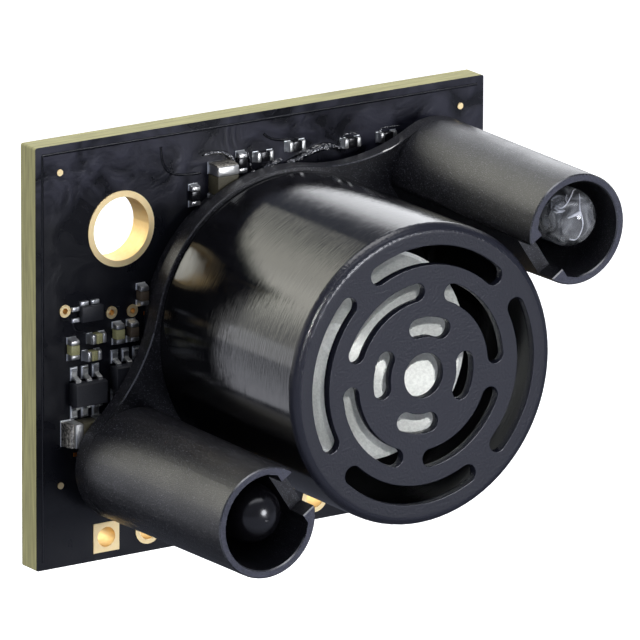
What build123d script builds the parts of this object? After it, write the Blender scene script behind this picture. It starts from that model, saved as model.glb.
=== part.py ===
import os
from math import atan, cos, degrees, hypot, radians, sin, sqrt

from build123d import *

# Ultrasonic distance sensor on a small board, with an emitter and a receiver LED beside the transducer.
# The origin is on the axis of the upper mounting hole, at the back face of the board.
# X points right, Z up, and the front of the sensor faces -Y. All sizes are in millimetres.

# Board
board_w = 27.2
board_h = 22.1
board_t = 1.35
board_corner_r = 0.12
mount_hole_d = 3.3
mount_ring_d = 3.95
mount_inset_x = 5.09
mount_inset_z = 4.89
plating_wall = 0.16
pad_t = 0.05
pin_pitch = 2.54
pin_count = 7
pin_hole_d = 1.05
pin_pad_d = 1.55
pin_first_inset_x = 4.17
pin_inset_z = 1.18
via_ring_d = 0.65
via_hole_d = 0.3
fiducial_d = 0.35
fiducial_inset = 1.45

# Holder: boss on the board, plate over it, two webs and two D-shaped tubes
can_x = 0.37
can_z = 0.47
boss_r = 7.6
boss_h = 1.0
plate_t = 0.9
plate_ledge = 0.22
web_arc_r = 9.7
tube_turn = 33.55
tube_gap = 0.82
tube_base_r = 3.02
tube_mouth_r = 2.86
tube_wall = 0.41
tube_flat_out = 2.55
tube_flat_wall = 0.75
tube_front = 14.04
notch_w = 2.3
notch_depth = 1.2

# Transducer
can_r = 7.78
can_wall = 0.4
can_face_t = 0.5
can_front = 14.08
can_rim_r = 0.5
grille_turn = -8.5
outer_slot_r = 6.18
outer_slot_w = 0.98
outer_slot_span = 68.7
middle_slot_r = 4.37
middle_slot_w = 0.93
middle_slot_span = 61.5
inner_slot_r = 2.5
inner_slot_w = 1.0
inner_slot_span = 34.0
centre_hole_d = 2.3
header_t = 2.4
header_clearance = 0.05
seat_r = 4.4
seat_wall = 0.7
seat_h = 1.2
piezo_r = 3.5
piezo_t = 0.4
vibrator_r = 5.0
vibrator_t = 0.3
cone_rim_r = 5.45
cone_foot_r = 1.0
cone_depth = 4.38
cone_wall = 0.2
pin_spacing = 10.0
pin_d = 0.7
pin_clearance = 0.1
pin_tail = 0.9

# LEDs
led_d = 3.0
led_flange_d = 3.8
led_flange_t = 1.0
led_length = 5.3
led_flat = 1.55
emitter_push = 0.48
receiver_push = 0.18
emitter_recess = 0.05
receiver_recess = 0.25
lead_pitch = 2.54
lead_w = 0.45
lead_clearance = 0.15
lead_tail = 1.0
cup_depth = 2.2
cup_r = 0.55
cup_mouth_r = 0.45
cup_floor_r = 0.25
cup_h = 0.4
die_w = 0.28
die_h = 0.12
solder_r = 0.85
solder_h = 0.7
solder_lean = 32.0

# Small parts, all on the board: chip_ is the small size of capacitor and resistor, bulk_ the large one
chip_l = 1.0
level_l = 0.86
chip_w = 0.5
capacitor_h = 0.45
resistor_h = 0.35
chip_end = 0.25
end_lap = 0.02
bulk_l = 2.0
bulk_w = 1.25
bulk_h = 0.95
bulk_end = 0.5
six_leg_l = 1.95
six_leg_w = 1.25
six_leg_h = 0.8
six_leg_pitch = 0.65
chip_draft = 12.0
tiny_l = 1.27
tiny_w = 0.8
tiny_h = 0.4
tiny_pad_w = 0.22
tiny_pad_out = 0.4
tiny_pad_t = 0.12
driver_l = 5.0
driver_w = 4.4
driver_h = 1.0
driver_pitch = 0.65
driver_legs_a_side = 7
controller_side = 4.0
controller_h = 0.85
clock_l = 3.2
clock_w = 2.5
clock_h = 0.8
leg_w = 0.28
leg_t = 0.12
leg_rise = 0.42
leg_foot = 0.3
leg_reach = 0.6
pocket_gap = 0.15
back_grid = 0.2

# Derived places
board_x = board_w / 2 - mount_inset_x
board_z = mount_inset_z - board_h / 2
can_left = can_x - boss_r
can_top = can_z + boss_r
can_bottom = boss_h + plate_t
plate_r = can_r + plate_ledge
tube_x = can_r + tube_gap + tube_flat_out
bore_r = tube_mouth_r - tube_wall
bore_flat = tube_flat_out - tube_flat_wall
turn = radians(tube_turn)
tube_draft = degrees(atan((tube_base_r - tube_mouth_r) / (tube_front - boss_h)))
header_top = can_bottom + header_t
seat_top = header_top + seat_h
vibrator_top = seat_top + vibrator_t
cone_rim = can_front - cone_depth
pin_x = [pin_first_inset_x - board_w / 2 + pin_pitch * i for i in range(pin_count)]
pin_z = pin_inset_z - board_h / 2
mount_spots = [(mount_inset_x - board_w / 2, board_h / 2 - mount_inset_z)]
mount_spots.append((board_w / 2 - mount_inset_x, mount_inset_z - board_h / 2))
via_spots = [(can_left - x, can_z + z) for x, z in ((4.64, 1.89), (1.86, 1.40), (0.61, 1.31))]
fiducial_x = board_w / 2 - fiducial_inset
fiducial_z = board_h / 2 - fiducial_inset
fiducial_spots = [(-fiducial_x, fiducial_z), (fiducial_x, fiducial_z), (-fiducial_x, -6.74)]
emitter_x = tube_x + emitter_push
receiver_x = -tube_x + receiver_push
led_r = led_d / 2
emitter_tip = tube_front - emitter_recess
receiver_tip = tube_front - receiver_recess
emitter_base = emitter_tip - led_length
receiver_base = receiver_tip - led_length
pin_offset = pin_spacing / 2
lead_offset = lead_pitch / 2

# Places of the small parts, left of the transducer and above it, as (x, z) from the centre of the board
upright_capacitors = [
    (can_left - 4.27, can_z - 0.12),
    (can_left - 1.57, can_z + 0.30),
    (can_left - 0.72, can_z + 0.30),
    (can_left - 0.12, can_z + 2.09),
]
level_capacitors = [(can_left - 2.84, can_z + 0.27), (can_left - 3.12, can_z - 0.59)]
upright_resistors = [(can_x - 4.57, can_top - 0.79), (can_x - 1.73, can_top + 0.52)]
level_resistors = [
    (can_x - 0.37, can_top + 0.67),
    (can_x + 1.58, can_top + 0.94),
    (can_x + 4.96, can_top + 0.62),
    (can_x + 7.17, can_top + 0.62),
]
upright_bulk_at = (can_x - 3.00, can_top - 0.32)
level_bulk_at = (can_left - 3.60, can_z - 4.49)
six_leg_at = [(can_left - 3.50, can_z - 2.45), (can_left - 1.07, can_z - 1.92)]
tiny_at = (can_left - 3.20, can_z + 1.63)

# Places of the parts on the back, in steps of their grid from the centre of the board
driver_at = (-8 * back_grid, 32 * back_grid)
controller_at = (18 * back_grid, -17 * back_grid)
clock_at = (-6 * back_grid, -28 * back_grid)
back_upright = [(back_grid * i, back_grid * j) for i, j in ((-53, -4), (-47, -4), (14, 36), (20, 36), (47, -3))]
back_level = [(back_grid * i, back_grid * j) for i, j in ((33, 27), (39, 7), (-27, -34), (-33, -1))]

# Front and back planes of the board, centred on it, and planes centred on the transducer
board_front = Plane(origin=(board_x, -board_t, board_z), x_dir=(1, 0, 0), z_dir=(0, -1, 0))
board_back = Plane(origin=(board_x, 0, board_z), x_dir=(1, 0, 0), z_dir=(0, -1, 0))
head_origin = (board_x + can_x, -board_t, board_z + can_z)
head = Plane(origin=head_origin, x_dir=(cos(turn), 0, sin(turn)), z_dir=(0, -1, 0))
head_flat = Plane(origin=head_origin, x_dir=(cos(radians(grille_turn)), 0, sin(radians(grille_turn))), z_dir=(0, -1, 0))
head_back = head.offset(-board_t)
head_rear = Plane(origin=head_back.origin, x_dir=head.x_dir, z_dir=(0, 1, 0))
head_axis = Axis(head_origin, (0, -1, 0))
head_side = Plane(origin=head_origin, x_dir=(1, 0, 0), z_dir=(0, 0, -1))
emitter_origin = head.from_local_coords((emitter_x, 0, 0))
receiver_origin = head.from_local_coords((receiver_x, 0, 0))
emitter_side = Plane(origin=emitter_origin, x_dir=head.x_dir, z_dir=(sin(turn), 0, -cos(turn)))
receiver_side = Plane(origin=receiver_origin, x_dir=head.x_dir, z_dir=(sin(turn), 0, -cos(turn)))

os.makedirs("parts", exist_ok=True)

# Board with its holes
with BuildPart() as circuit_board:
    with BuildSketch(board_back):
        RectangleRounded(board_w, board_h, board_corner_r)
        with Locations(*mount_spots):
            Circle(mount_hole_d / 2 + plating_wall, mode=Mode.SUBTRACT)
        with Locations(*[(x, pin_z) for x in pin_x]):
            Circle(pin_hole_d / 2 + plating_wall, mode=Mode.SUBTRACT)
        with Locations(*via_spots):
            Circle(via_ring_d / 2, mode=Mode.SUBTRACT)
    extrude(amount=board_t)
    with BuildSketch(head_back):
        with Locations((pin_offset, 0), (-pin_offset, 0)):
            Circle(pin_d / 2 + pin_clearance)
        with Locations((emitter_x, 0), (receiver_x, 0)):
            with Locations((lead_offset, 0), (-lead_offset, 0)):
                Circle(lead_w / 2 + lead_clearance)
    extrude(amount=board_t, mode=Mode.SUBTRACT)
circuit_board.part.label = "circuit_board"
export_step(circuit_board.part, "parts/circuit_board.step")

# Plated mounting holes: a ring on each face and a thin wall through the board
with BuildPart() as mounting_hole_platings:
    with BuildSketch(board_back.offset(-pad_t), board_front):
        with Locations(*mount_spots):
            Circle(mount_ring_d / 2)
    extrude(amount=pad_t)
    with BuildSketch(board_back):
        with Locations(*mount_spots):
            Circle(mount_hole_d / 2 + plating_wall)
    extrude(amount=board_t)
    with BuildSketch(board_back.offset(-pad_t)):
        with Locations(*mount_spots):
            Circle(mount_hole_d / 2)
    extrude(amount=board_t + 2 * pad_t, mode=Mode.SUBTRACT)
mounting_hole_platings.part.label = "mounting_hole_platings"
export_step(mounting_hole_platings.part, "parts/mounting_hole_platings.step")

# Header pads: the first is square
with BuildPart() as first_header_pad:
    with BuildSketch(board_back.offset(-pad_t), board_front):
        with Locations((pin_x[0], pin_z)):
            Rectangle(pin_pad_d, pin_pad_d)
    extrude(amount=pad_t)
    with BuildSketch(board_back):
        with Locations((pin_x[0], pin_z)):
            Circle(pin_hole_d / 2 + plating_wall)
    extrude(amount=board_t)
    with BuildSketch(board_back.offset(-pad_t)):
        with Locations((pin_x[0], pin_z)):
            Circle(pin_hole_d / 2)
    extrude(amount=board_t + 2 * pad_t, mode=Mode.SUBTRACT)
first_header_pad.part.label = "first_header_pad"
export_step(first_header_pad.part, "parts/first_header_pad.step")

with BuildPart() as header_pads:
    with BuildSketch(board_back.offset(-pad_t), board_front):
        with Locations(*[(x, pin_z) for x in pin_x[1:]]):
            Circle(pin_pad_d / 2)
    extrude(amount=pad_t)
    with BuildSketch(board_back):
        with Locations(*[(x, pin_z) for x in pin_x[1:]]):
            Circle(pin_hole_d / 2 + plating_wall)
    extrude(amount=board_t)
    with BuildSketch(board_back.offset(-pad_t)):
        with Locations(*[(x, pin_z) for x in pin_x[1:]]):
            Circle(pin_hole_d / 2)
    extrude(amount=board_t + 2 * pad_t, mode=Mode.SUBTRACT)
header_pads.part.label = "header_pads"
export_step(header_pads.part, "parts/header_pads.step")

# Small vias and fiducial dots
with BuildPart() as vias:
    with BuildSketch(board_back.offset(-pad_t)):
        with Locations(*via_spots):
            Circle(via_ring_d / 2)
            Circle(via_hole_d / 2, mode=Mode.SUBTRACT)
    extrude(amount=board_t + 2 * pad_t)
vias.part.label = "vias"
export_step(vias.part, "parts/vias.step")

with BuildPart() as fiducials:
    with BuildSketch(board_front):
        with Locations(*fiducial_spots):
            Circle(fiducial_d / 2)
    extrude(amount=pad_t)
fiducials.part.label = "fiducials"
export_step(fiducials.part, "parts/fiducials.step")

# Concave side of the web: an arc that meets the plate and the tube's foot without a corner
arc_x = (tube_x**2 + (plate_r + web_arc_r) ** 2 - (tube_base_r + web_arc_r) ** 2) / (2 * tube_x)
arc_y = sqrt((plate_r + web_arc_r) ** 2 - arc_x**2)
plate_share = plate_r / (plate_r + web_arc_r)
plate_meet = (arc_x * plate_share, arc_y * plate_share)
tube_share = tube_base_r / (tube_base_r + web_arc_r)
tube_meet = (tube_x + (arc_x - tube_x) * tube_share, arc_y * tube_share)
chord_x = (plate_meet[0] + tube_meet[0]) / 2 - arc_x
chord_y = (plate_meet[1] + tube_meet[1]) / 2 - arc_y
chord = hypot(chord_x, chord_y)
arc_mid = (arc_x + chord_x / chord * web_arc_r, arc_y + chord_y / chord * web_arc_r)

# Holder, moulded in one: two drafted tubes cut flat toward the transducer, boss, plate and webs
with BuildPart() as sensor_holder:
    with BuildSketch(head.offset(boss_h)):
        with Locations((tube_x, 0), (-tube_x, 0)):
            Circle(tube_base_r)
    extrude(amount=tube_front - boss_h, taper=tube_draft)
    with BuildSketch(head.offset(boss_h)):
        Rectangle(2 * (tube_x - tube_flat_out), 3 * tube_base_r)
    extrude(amount=tube_front, mode=Mode.SUBTRACT)
    with BuildSketch(head):
        Circle(boss_r)
    extrude(amount=boss_h)
    with BuildSketch(head.offset(boss_h)):
        Circle(plate_r)
        with Locations((tube_x, 0), (-tube_x, 0)):
            Circle(tube_base_r)
        for side in (1, -1):
            with BuildLine():
                top = ThreePointArc(
                    (side * plate_meet[0], plate_meet[1]),
                    (side * arc_mid[0], arc_mid[1]),
                    (side * tube_meet[0], tube_meet[1]),
                )
                low = ThreePointArc(
                    (side * tube_meet[0], -tube_meet[1]),
                    (side * arc_mid[0], -arc_mid[1]),
                    (side * plate_meet[0], -plate_meet[1]),
                )
                Line(top @ 1, low @ 0)
                Line(low @ 1, top @ 0)
            make_face()
    extrude(amount=plate_t)
    with BuildSketch(head.offset(boss_h)):
        for side in (1, -1):
            with Locations((side * tube_x, 0)):
                Circle(bore_r)
            with Locations((side * (tube_x - bore_flat - bore_r), 0)):
                Rectangle(2 * bore_r, 4 * bore_r, mode=Mode.SUBTRACT)
    extrude(amount=tube_front - boss_h, mode=Mode.SUBTRACT)
    with BuildSketch(head.offset(tube_front - notch_depth)):
        for side in (1, -1):
            with Locations((side * (tube_x - tube_flat_out + tube_flat_wall / 2), 0)):
                Rectangle(2 * tube_flat_wall, notch_w)
    extrude(amount=2 * notch_depth, mode=Mode.SUBTRACT)
    with BuildSketch(head):
        with Locations((pin_offset, 0), (-pin_offset, 0)):
            Circle(pin_d / 2 + pin_clearance)
    extrude(amount=can_bottom, mode=Mode.SUBTRACT)
    # Pocket in the boss for the large capacitor above the transducer
    with BuildSketch(board_front):
        with Locations(upright_bulk_at):
            Rectangle(bulk_w + 2 * pocket_gap, bulk_l + 2 * pocket_gap)
    extrude(amount=boss_h, mode=Mode.SUBTRACT)
sensor_holder.part.label = "sensor_holder"
export_step(sensor_holder.part, "parts/sensor_holder.step")

# Centre lines of the grille's slots, each kind repeated four times round the face
outer_arc = CenterArc((0, 0), outer_slot_r, 90 - outer_slot_span / 2, outer_slot_span)
middle_arc = CenterArc((0, 0), middle_slot_r, 45 - middle_slot_span / 2, middle_slot_span)
inner_arc = CenterArc((0, 0), inner_slot_r, 90 - inner_slot_span / 2, inner_slot_span)

# Transducer can with the slotted grille in its face
with BuildPart() as transducer_can:
    with BuildSketch(head.offset(can_bottom)):
        Circle(can_r)
    extrude(amount=can_front - can_bottom)
    fillet(transducer_can.edges().group_by(Axis.Y)[0], can_rim_r)
    with BuildSketch(head.offset(can_bottom)):
        Circle(can_r - can_wall)
    extrude(amount=can_front - can_face_t - can_bottom, mode=Mode.SUBTRACT)
    with BuildSketch(head_flat.offset(can_front - can_face_t)):
        Circle(centre_hole_d / 2)
        with PolarLocations(0, 4):
            SlotArc(outer_arc, outer_slot_w)
            SlotArc(middle_arc, middle_slot_w)
            SlotArc(inner_arc, inner_slot_w)
    extrude(amount=can_face_t, mode=Mode.SUBTRACT)
transducer_can.part.label = "transducer_can"
export_step(transducer_can.part, "parts/transducer_can.step")

# Header disc inside the can, with holes for the two pins
with BuildPart() as transducer_header:
    with BuildSketch(head.offset(can_bottom)):
        Circle(can_r - can_wall - header_clearance)
        with Locations((pin_offset, 0), (-pin_offset, 0)):
            Circle(pin_d / 2, mode=Mode.SUBTRACT)
    extrude(amount=header_t)
transducer_header.part.label = "transducer_header"
export_step(transducer_header.part, "parts/transducer_header.step")

with BuildPart() as transducer_pins:
    with BuildSketch(head.offset(-board_t - pin_tail)):
        with Locations((pin_offset, 0), (-pin_offset, 0)):
            Circle(pin_d / 2)
    extrude(amount=board_t + pin_tail + header_top)
transducer_pins.part.label = "transducer_pins"
export_step(transducer_pins.part, "parts/transducer_pins.step")

# Soft seat that carries the vibrating plate near its edge
with BuildPart() as silicone_seat:
    with BuildSketch(head.offset(header_top)):
        Circle(seat_r)
        Circle(seat_r - seat_wall, mode=Mode.SUBTRACT)
    extrude(amount=seat_h)
silicone_seat.part.label = "silicone_seat"
export_step(silicone_seat.part, "parts/silicone_seat.step")

with BuildPart() as vibrating_plate:
    with BuildSketch(head.offset(seat_top)):
        Circle(vibrator_r)
    extrude(amount=vibrator_t)
vibrating_plate.part.label = "vibrating_plate"
export_step(vibrating_plate.part, "parts/vibrating_plate.step")

with BuildPart() as piezo_disc:
    with BuildSketch(head.offset(seat_top - piezo_t)):
        Circle(piezo_r)
    extrude(amount=piezo_t)
piezo_disc.part.label = "piezo_disc"
export_step(piezo_disc.part, "parts/piezo_disc.step")

# Resonator cone on the vibrating plate, open toward the grille
with BuildPart() as resonator_cone:
    with BuildSketch(head_side):
        with BuildLine():
            Polyline(
                (0, vibrator_top),
                (cone_foot_r, vibrator_top),
                (cone_rim_r, cone_rim),
                (cone_rim_r - cone_wall, cone_rim),
                (cone_foot_r - cone_wall, vibrator_top + cone_wall),
                (0, vibrator_top + cone_wall),
                close=True,
            )
        make_face()
    revolve(axis=head_axis)
resonator_cone.part.label = "resonator_cone"
export_step(resonator_cone.part, "parts/resonator_cone.step")

# Emitter LED: two posts with feet through the board, one of them with a cup that holds the die
with BuildPart() as emitter_frame:
    with BuildSketch(emitter_side):
        with BuildLine():
            Polyline(
                (-lead_offset - lead_w / 2, -board_t - lead_tail),
                (-lead_offset + lead_w / 2, -board_t - lead_tail),
                (-lead_offset + lead_w / 2, emitter_base + 0.3),
                (-0.1, emitter_base + 0.3),
                (-0.1, emitter_base + 1.6),
                (0.3, emitter_base + 2.1),
                (0.3, emitter_tip - cup_depth - cup_h),
                (-0.3, emitter_tip - cup_depth - cup_h),
                (-0.7, emitter_base + 1.6),
                (-0.7, emitter_base + 0.75),
                (-lead_offset - lead_w / 2, emitter_base + 0.75),
                close=True,
            )
        make_face()
        with BuildLine():
            Polyline(
                (lead_offset - lead_w / 2, -board_t - lead_tail),
                (lead_offset + lead_w / 2, -board_t - lead_tail),
                (lead_offset + lead_w / 2, emitter_base + 0.75),
                (1.0, emitter_base + 0.75),
                (1.0, emitter_tip - cup_depth),
                (0.75, emitter_tip - cup_depth),
                (0.55, emitter_base + 1.9),
                (0.35, emitter_base + 1.6),
                (0.35, emitter_base + 0.3),
                (lead_offset - lead_w / 2, emitter_base + 0.3),
                close=True,
            )
        make_face()
    extrude(amount=lead_w / 2, both=True)
    with BuildSketch(emitter_side):
        with BuildLine():
            Polyline(
                (0, emitter_tip - cup_depth - cup_h),
                (cup_r, emitter_tip - cup_depth - cup_h),
                (cup_r, emitter_tip - cup_depth),
                (cup_mouth_r, emitter_tip - cup_depth),
                (cup_floor_r, emitter_tip - cup_depth - cup_h / 2),
                (0, emitter_tip - cup_depth - cup_h / 2),
                close=True,
            )
        make_face()
    revolve(axis=Axis(emitter_origin, (0, -1, 0)))
emitter_frame.part.label = "emitter_frame"
export_step(emitter_frame.part, "parts/emitter_frame.step")

with BuildPart() as emitter_die:
    with BuildSketch(head.offset(emitter_tip - cup_depth - cup_h / 2)):
        with Locations((emitter_x, 0)):
            Rectangle(die_w, die_w)
    extrude(amount=die_h)
emitter_die.part.label = "emitter_die"
export_step(emitter_die.part, "parts/emitter_die.step")

with BuildPart() as emitter_led:
    with BuildSketch(emitter_side):
        with BuildLine():
            base_line = Polyline(
                (0, emitter_tip),
                (0, emitter_base),
                (led_flange_d / 2, emitter_base),
                (led_flange_d / 2, emitter_base + led_flange_t),
                (led_r, emitter_base + led_flange_t),
                (led_r, emitter_tip - led_r),
            )
            RadiusArc(base_line @ 1, base_line @ 0, -led_r)
        make_face()
    revolve(axis=Axis(emitter_origin, (0, -1, 0)))
    with BuildSketch(head.offset(emitter_base)):
        with Locations((emitter_x - led_flat - led_r, 0)):
            Rectangle(2 * led_r, 4 * led_r)
    extrude(amount=led_flange_t, mode=Mode.SUBTRACT)
    add(emitter_frame.part, mode=Mode.SUBTRACT)
    add(emitter_die.part, mode=Mode.SUBTRACT)
emitter_led.part.label = "emitter_led"
export_step(emitter_led.part, "parts/emitter_led.step")

# Receiver LED: two posts with feet through the board, one of them with a cup that holds the die
with BuildPart() as receiver_frame:
    with BuildSketch(receiver_side):
        with BuildLine():
            Polyline(
                (-lead_offset - lead_w / 2, -board_t - lead_tail),
                (-lead_offset + lead_w / 2, -board_t - lead_tail),
                (-lead_offset + lead_w / 2, receiver_base + 0.3),
                (-0.1, receiver_base + 0.3),
                (-0.1, receiver_base + 1.6),
                (0.3, receiver_base + 2.1),
                (0.3, receiver_tip - cup_depth - cup_h),
                (-0.3, receiver_tip - cup_depth - cup_h),
                (-0.7, receiver_base + 1.6),
                (-0.7, receiver_base + 0.75),
                (-lead_offset - lead_w / 2, receiver_base + 0.75),
                close=True,
            )
        make_face()
        with BuildLine():
            Polyline(
                (lead_offset - lead_w / 2, -board_t - lead_tail),
                (lead_offset + lead_w / 2, -board_t - lead_tail),
                (lead_offset + lead_w / 2, receiver_base + 0.75),
                (1.0, receiver_base + 0.75),
                (1.0, receiver_tip - cup_depth),
                (0.75, receiver_tip - cup_depth),
                (0.55, receiver_base + 1.9),
                (0.35, receiver_base + 1.6),
                (0.35, receiver_base + 0.3),
                (lead_offset - lead_w / 2, receiver_base + 0.3),
                close=True,
            )
        make_face()
    extrude(amount=lead_w / 2, both=True)
    with BuildSketch(receiver_side):
        with BuildLine():
            Polyline(
                (0, receiver_tip - cup_depth - cup_h),
                (cup_r, receiver_tip - cup_depth - cup_h),
                (cup_r, receiver_tip - cup_depth),
                (cup_mouth_r, receiver_tip - cup_depth),
                (cup_floor_r, receiver_tip - cup_depth - cup_h / 2),
                (0, receiver_tip - cup_depth - cup_h / 2),
                close=True,
            )
        make_face()
    revolve(axis=Axis(receiver_origin, (0, -1, 0)))
receiver_frame.part.label = "receiver_frame"
export_step(receiver_frame.part, "parts/receiver_frame.step")

with BuildPart() as receiver_die:
    with BuildSketch(head.offset(receiver_tip - cup_depth - cup_h / 2)):
        with Locations((receiver_x, 0)):
            Rectangle(die_w, die_w)
    extrude(amount=die_h)
receiver_die.part.label = "receiver_die"
export_step(receiver_die.part, "parts/receiver_die.step")

with BuildPart() as receiver_led:
    with BuildSketch(receiver_side):
        with BuildLine():
            base_line = Polyline(
                (0, receiver_tip),
                (0, receiver_base),
                (led_flange_d / 2, receiver_base),
                (led_flange_d / 2, receiver_base + led_flange_t),
                (led_r, receiver_base + led_flange_t),
                (led_r, receiver_tip - led_r),
            )
            RadiusArc(base_line @ 1, base_line @ 0, -led_r)
        make_face()
    revolve(axis=Axis(receiver_origin, (0, -1, 0)))
    with BuildSketch(head.offset(receiver_base)):
        with Locations((receiver_x + led_flat + led_r, 0)):
            Rectangle(2 * led_r, 4 * led_r)
    extrude(amount=led_flange_t, mode=Mode.SUBTRACT)
    add(receiver_frame.part, mode=Mode.SUBTRACT)
    add(receiver_die.part, mode=Mode.SUBTRACT)
receiver_led.part.label = "receiver_led"
export_step(receiver_led.part, "parts/receiver_led.step")

# Solder joints on the back, round the two pins and the four leads
with BuildPart() as solder_joints:
    with BuildSketch(head_rear):
        with Locations((pin_offset, 0), (-pin_offset, 0)):
            Circle(solder_r)
        for lead_x in (emitter_x - lead_offset, emitter_x + lead_offset, receiver_x - lead_offset, receiver_x + lead_offset):
            with Locations((lead_x, 0)):
                Circle(solder_r)
    extrude(amount=solder_h, taper=solder_lean)
    add(transducer_pins.part, mode=Mode.SUBTRACT)
    add(emitter_frame.part, mode=Mode.SUBTRACT)
    add(receiver_frame.part, mode=Mode.SUBTRACT)
solder_joints.part.label = "solder_joints"
export_step(solder_joints.part, "parts/solder_joints.step")

# Small capacitors on the front, with a metal end at each side of the body
with BuildPart() as small_capacitors:
    with BuildSketch(board_front):
        with Locations(*upright_capacitors):
            Rectangle(chip_w, chip_l - 2 * chip_end)
        with Locations(*level_capacitors):
            Rectangle(level_l - 2 * chip_end, chip_w)
    extrude(amount=capacitor_h)
small_capacitors.part.label = "small_capacitors"
export_step(small_capacitors.part, "parts/small_capacitors.step")

with BuildPart() as small_capacitor_ends:
    with BuildSketch(board_front):
        with Locations(*upright_capacitors):
            with GridLocations(chip_w, chip_l - chip_end, 1, 2):
                Rectangle(chip_w + end_lap, chip_end)
        with Locations(*level_capacitors):
            with GridLocations(level_l - chip_end, chip_w, 2, 1):
                Rectangle(chip_end, chip_w + end_lap)
    extrude(amount=capacitor_h + end_lap)
small_capacitor_ends.part.label = "small_capacitor_ends"
export_step(small_capacitor_ends.part, "parts/small_capacitor_ends.step")

# Resistors on the front
with BuildPart() as resistors:
    with BuildSketch(board_front):
        with Locations(*upright_resistors):
            Rectangle(chip_w, chip_l - 2 * chip_end)
        with Locations(*level_resistors):
            Rectangle(chip_l - 2 * chip_end, chip_w)
    extrude(amount=resistor_h)
resistors.part.label = "resistors"
export_step(resistors.part, "parts/resistors.step")

with BuildPart() as resistor_ends:
    with BuildSketch(board_front):
        with Locations(*upright_resistors):
            with GridLocations(chip_w, chip_l - chip_end, 1, 2):
                Rectangle(chip_w + end_lap, chip_end)
        with Locations(*level_resistors):
            with GridLocations(chip_l - chip_end, chip_w, 2, 1):
                Rectangle(chip_end, chip_w + end_lap)
    extrude(amount=resistor_h + end_lap)
resistor_ends.part.label = "resistor_ends"
export_step(resistor_ends.part, "parts/resistor_ends.step")

# Large capacitors on the front
with BuildPart() as bulk_capacitors:
    with BuildSketch(board_front):
        with Locations(upright_bulk_at):
            Rectangle(bulk_w, bulk_l - 2 * bulk_end)
        with Locations(level_bulk_at):
            Rectangle(bulk_l - 2 * bulk_end, bulk_w)
    extrude(amount=bulk_h - end_lap)
bulk_capacitors.part.label = "bulk_capacitors"
export_step(bulk_capacitors.part, "parts/bulk_capacitors.step")

with BuildPart() as bulk_capacitor_ends:
    with BuildSketch(board_front):
        with Locations(upright_bulk_at):
            with GridLocations(bulk_w, bulk_l - bulk_end, 1, 2):
                Rectangle(bulk_w + end_lap, bulk_end)
        with Locations(level_bulk_at):
            with GridLocations(bulk_l - bulk_end, bulk_w, 2, 1):
                Rectangle(bulk_end, bulk_w + end_lap)
    extrude(amount=bulk_h)
bulk_capacitor_ends.part.label = "bulk_capacitor_ends"
export_step(bulk_capacitor_ends.part, "parts/bulk_capacitor_ends.step")

# One bent leg, its inner end on a chip's side at z = 0 and its foot on the board at y = 0
with BuildPart() as leg:
    with BuildSketch(Plane.YZ):
        with BuildLine():
            Polyline(
                (-leg_rise - leg_t, 0),
                (-leg_rise - leg_t, 0.12),
                (-leg_t, leg_reach - leg_foot),
                (-leg_t, leg_reach),
                (0, leg_reach),
                (0, leg_reach - leg_foot - 0.06),
                (-leg_rise, 0.06),
                (-leg_rise, 0),
                close=True,
            )
        make_face()
    extrude(amount=leg_w / 2, both=True)

# Two six-legged chips on the front, each with a belt at its legs and drafted sides above and below it
with BuildPart() as six_leg_chips:
    with BuildSketch(board_front.offset(leg_rise)):
        with Locations(*six_leg_at):
            Rectangle(six_leg_l, six_leg_w)
    extrude(amount=leg_t)
    with BuildSketch(board_front.offset(leg_rise + leg_t)):
        with Locations(*six_leg_at):
            Rectangle(six_leg_l, six_leg_w)
    extrude(amount=six_leg_h - leg_rise - leg_t, taper=chip_draft)
    with BuildSketch(board_front.offset(leg_rise)):
        with Locations(*six_leg_at):
            Rectangle(six_leg_l, six_leg_w)
    extrude(amount=-leg_rise, taper=chip_draft)
six_leg_chips.part.label = "six_leg_chips"
export_step(six_leg_chips.part, "parts/six_leg_chips.step")

with BuildPart() as six_leg_chip_legs:
    for chip_x, chip_z in six_leg_at:
        for i in (-1, 0, 1):
            leg_x = board_x + chip_x + six_leg_pitch * i
            with Locations(Location((leg_x, -board_t, board_z + chip_z + six_leg_w / 2))):
                add(leg.part)
            with Locations(Location((leg_x, -board_t, board_z + chip_z - six_leg_w / 2), (0, 180, 0))):
                add(leg.part)
six_leg_chip_legs.part.label = "six_leg_chip_legs"
export_step(six_leg_chip_legs.part, "parts/six_leg_chip_legs.step")

# Tiny chip with two pads at its left and two at its top
with BuildPart() as tiny_chip:
    with BuildSketch(board_front):
        with Locations(tiny_at):
            Rectangle(tiny_l, tiny_w)
    extrude(amount=tiny_h)
tiny_chip.part.label = "tiny_chip"
export_step(tiny_chip.part, "parts/tiny_chip.step")

with BuildPart() as tiny_chip_pads:
    with BuildSketch(board_front):
        with Locations((tiny_at[0] - tiny_l / 2 - tiny_pad_out / 2, tiny_at[1])):
            with GridLocations(tiny_l, tiny_w - tiny_pad_w, 1, 2):
                Rectangle(tiny_pad_out, tiny_pad_w)
        with Locations((tiny_at[0], tiny_at[1] + tiny_w / 2 + tiny_pad_w / 2)):
            with GridLocations(tiny_l / 2, tiny_w, 2, 1):
                Rectangle(tiny_l / 3, tiny_pad_w)
    extrude(amount=tiny_pad_t)
tiny_chip_pads.part.label = "tiny_chip_pads"
export_step(tiny_chip_pads.part, "parts/tiny_chip_pads.step")

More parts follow.
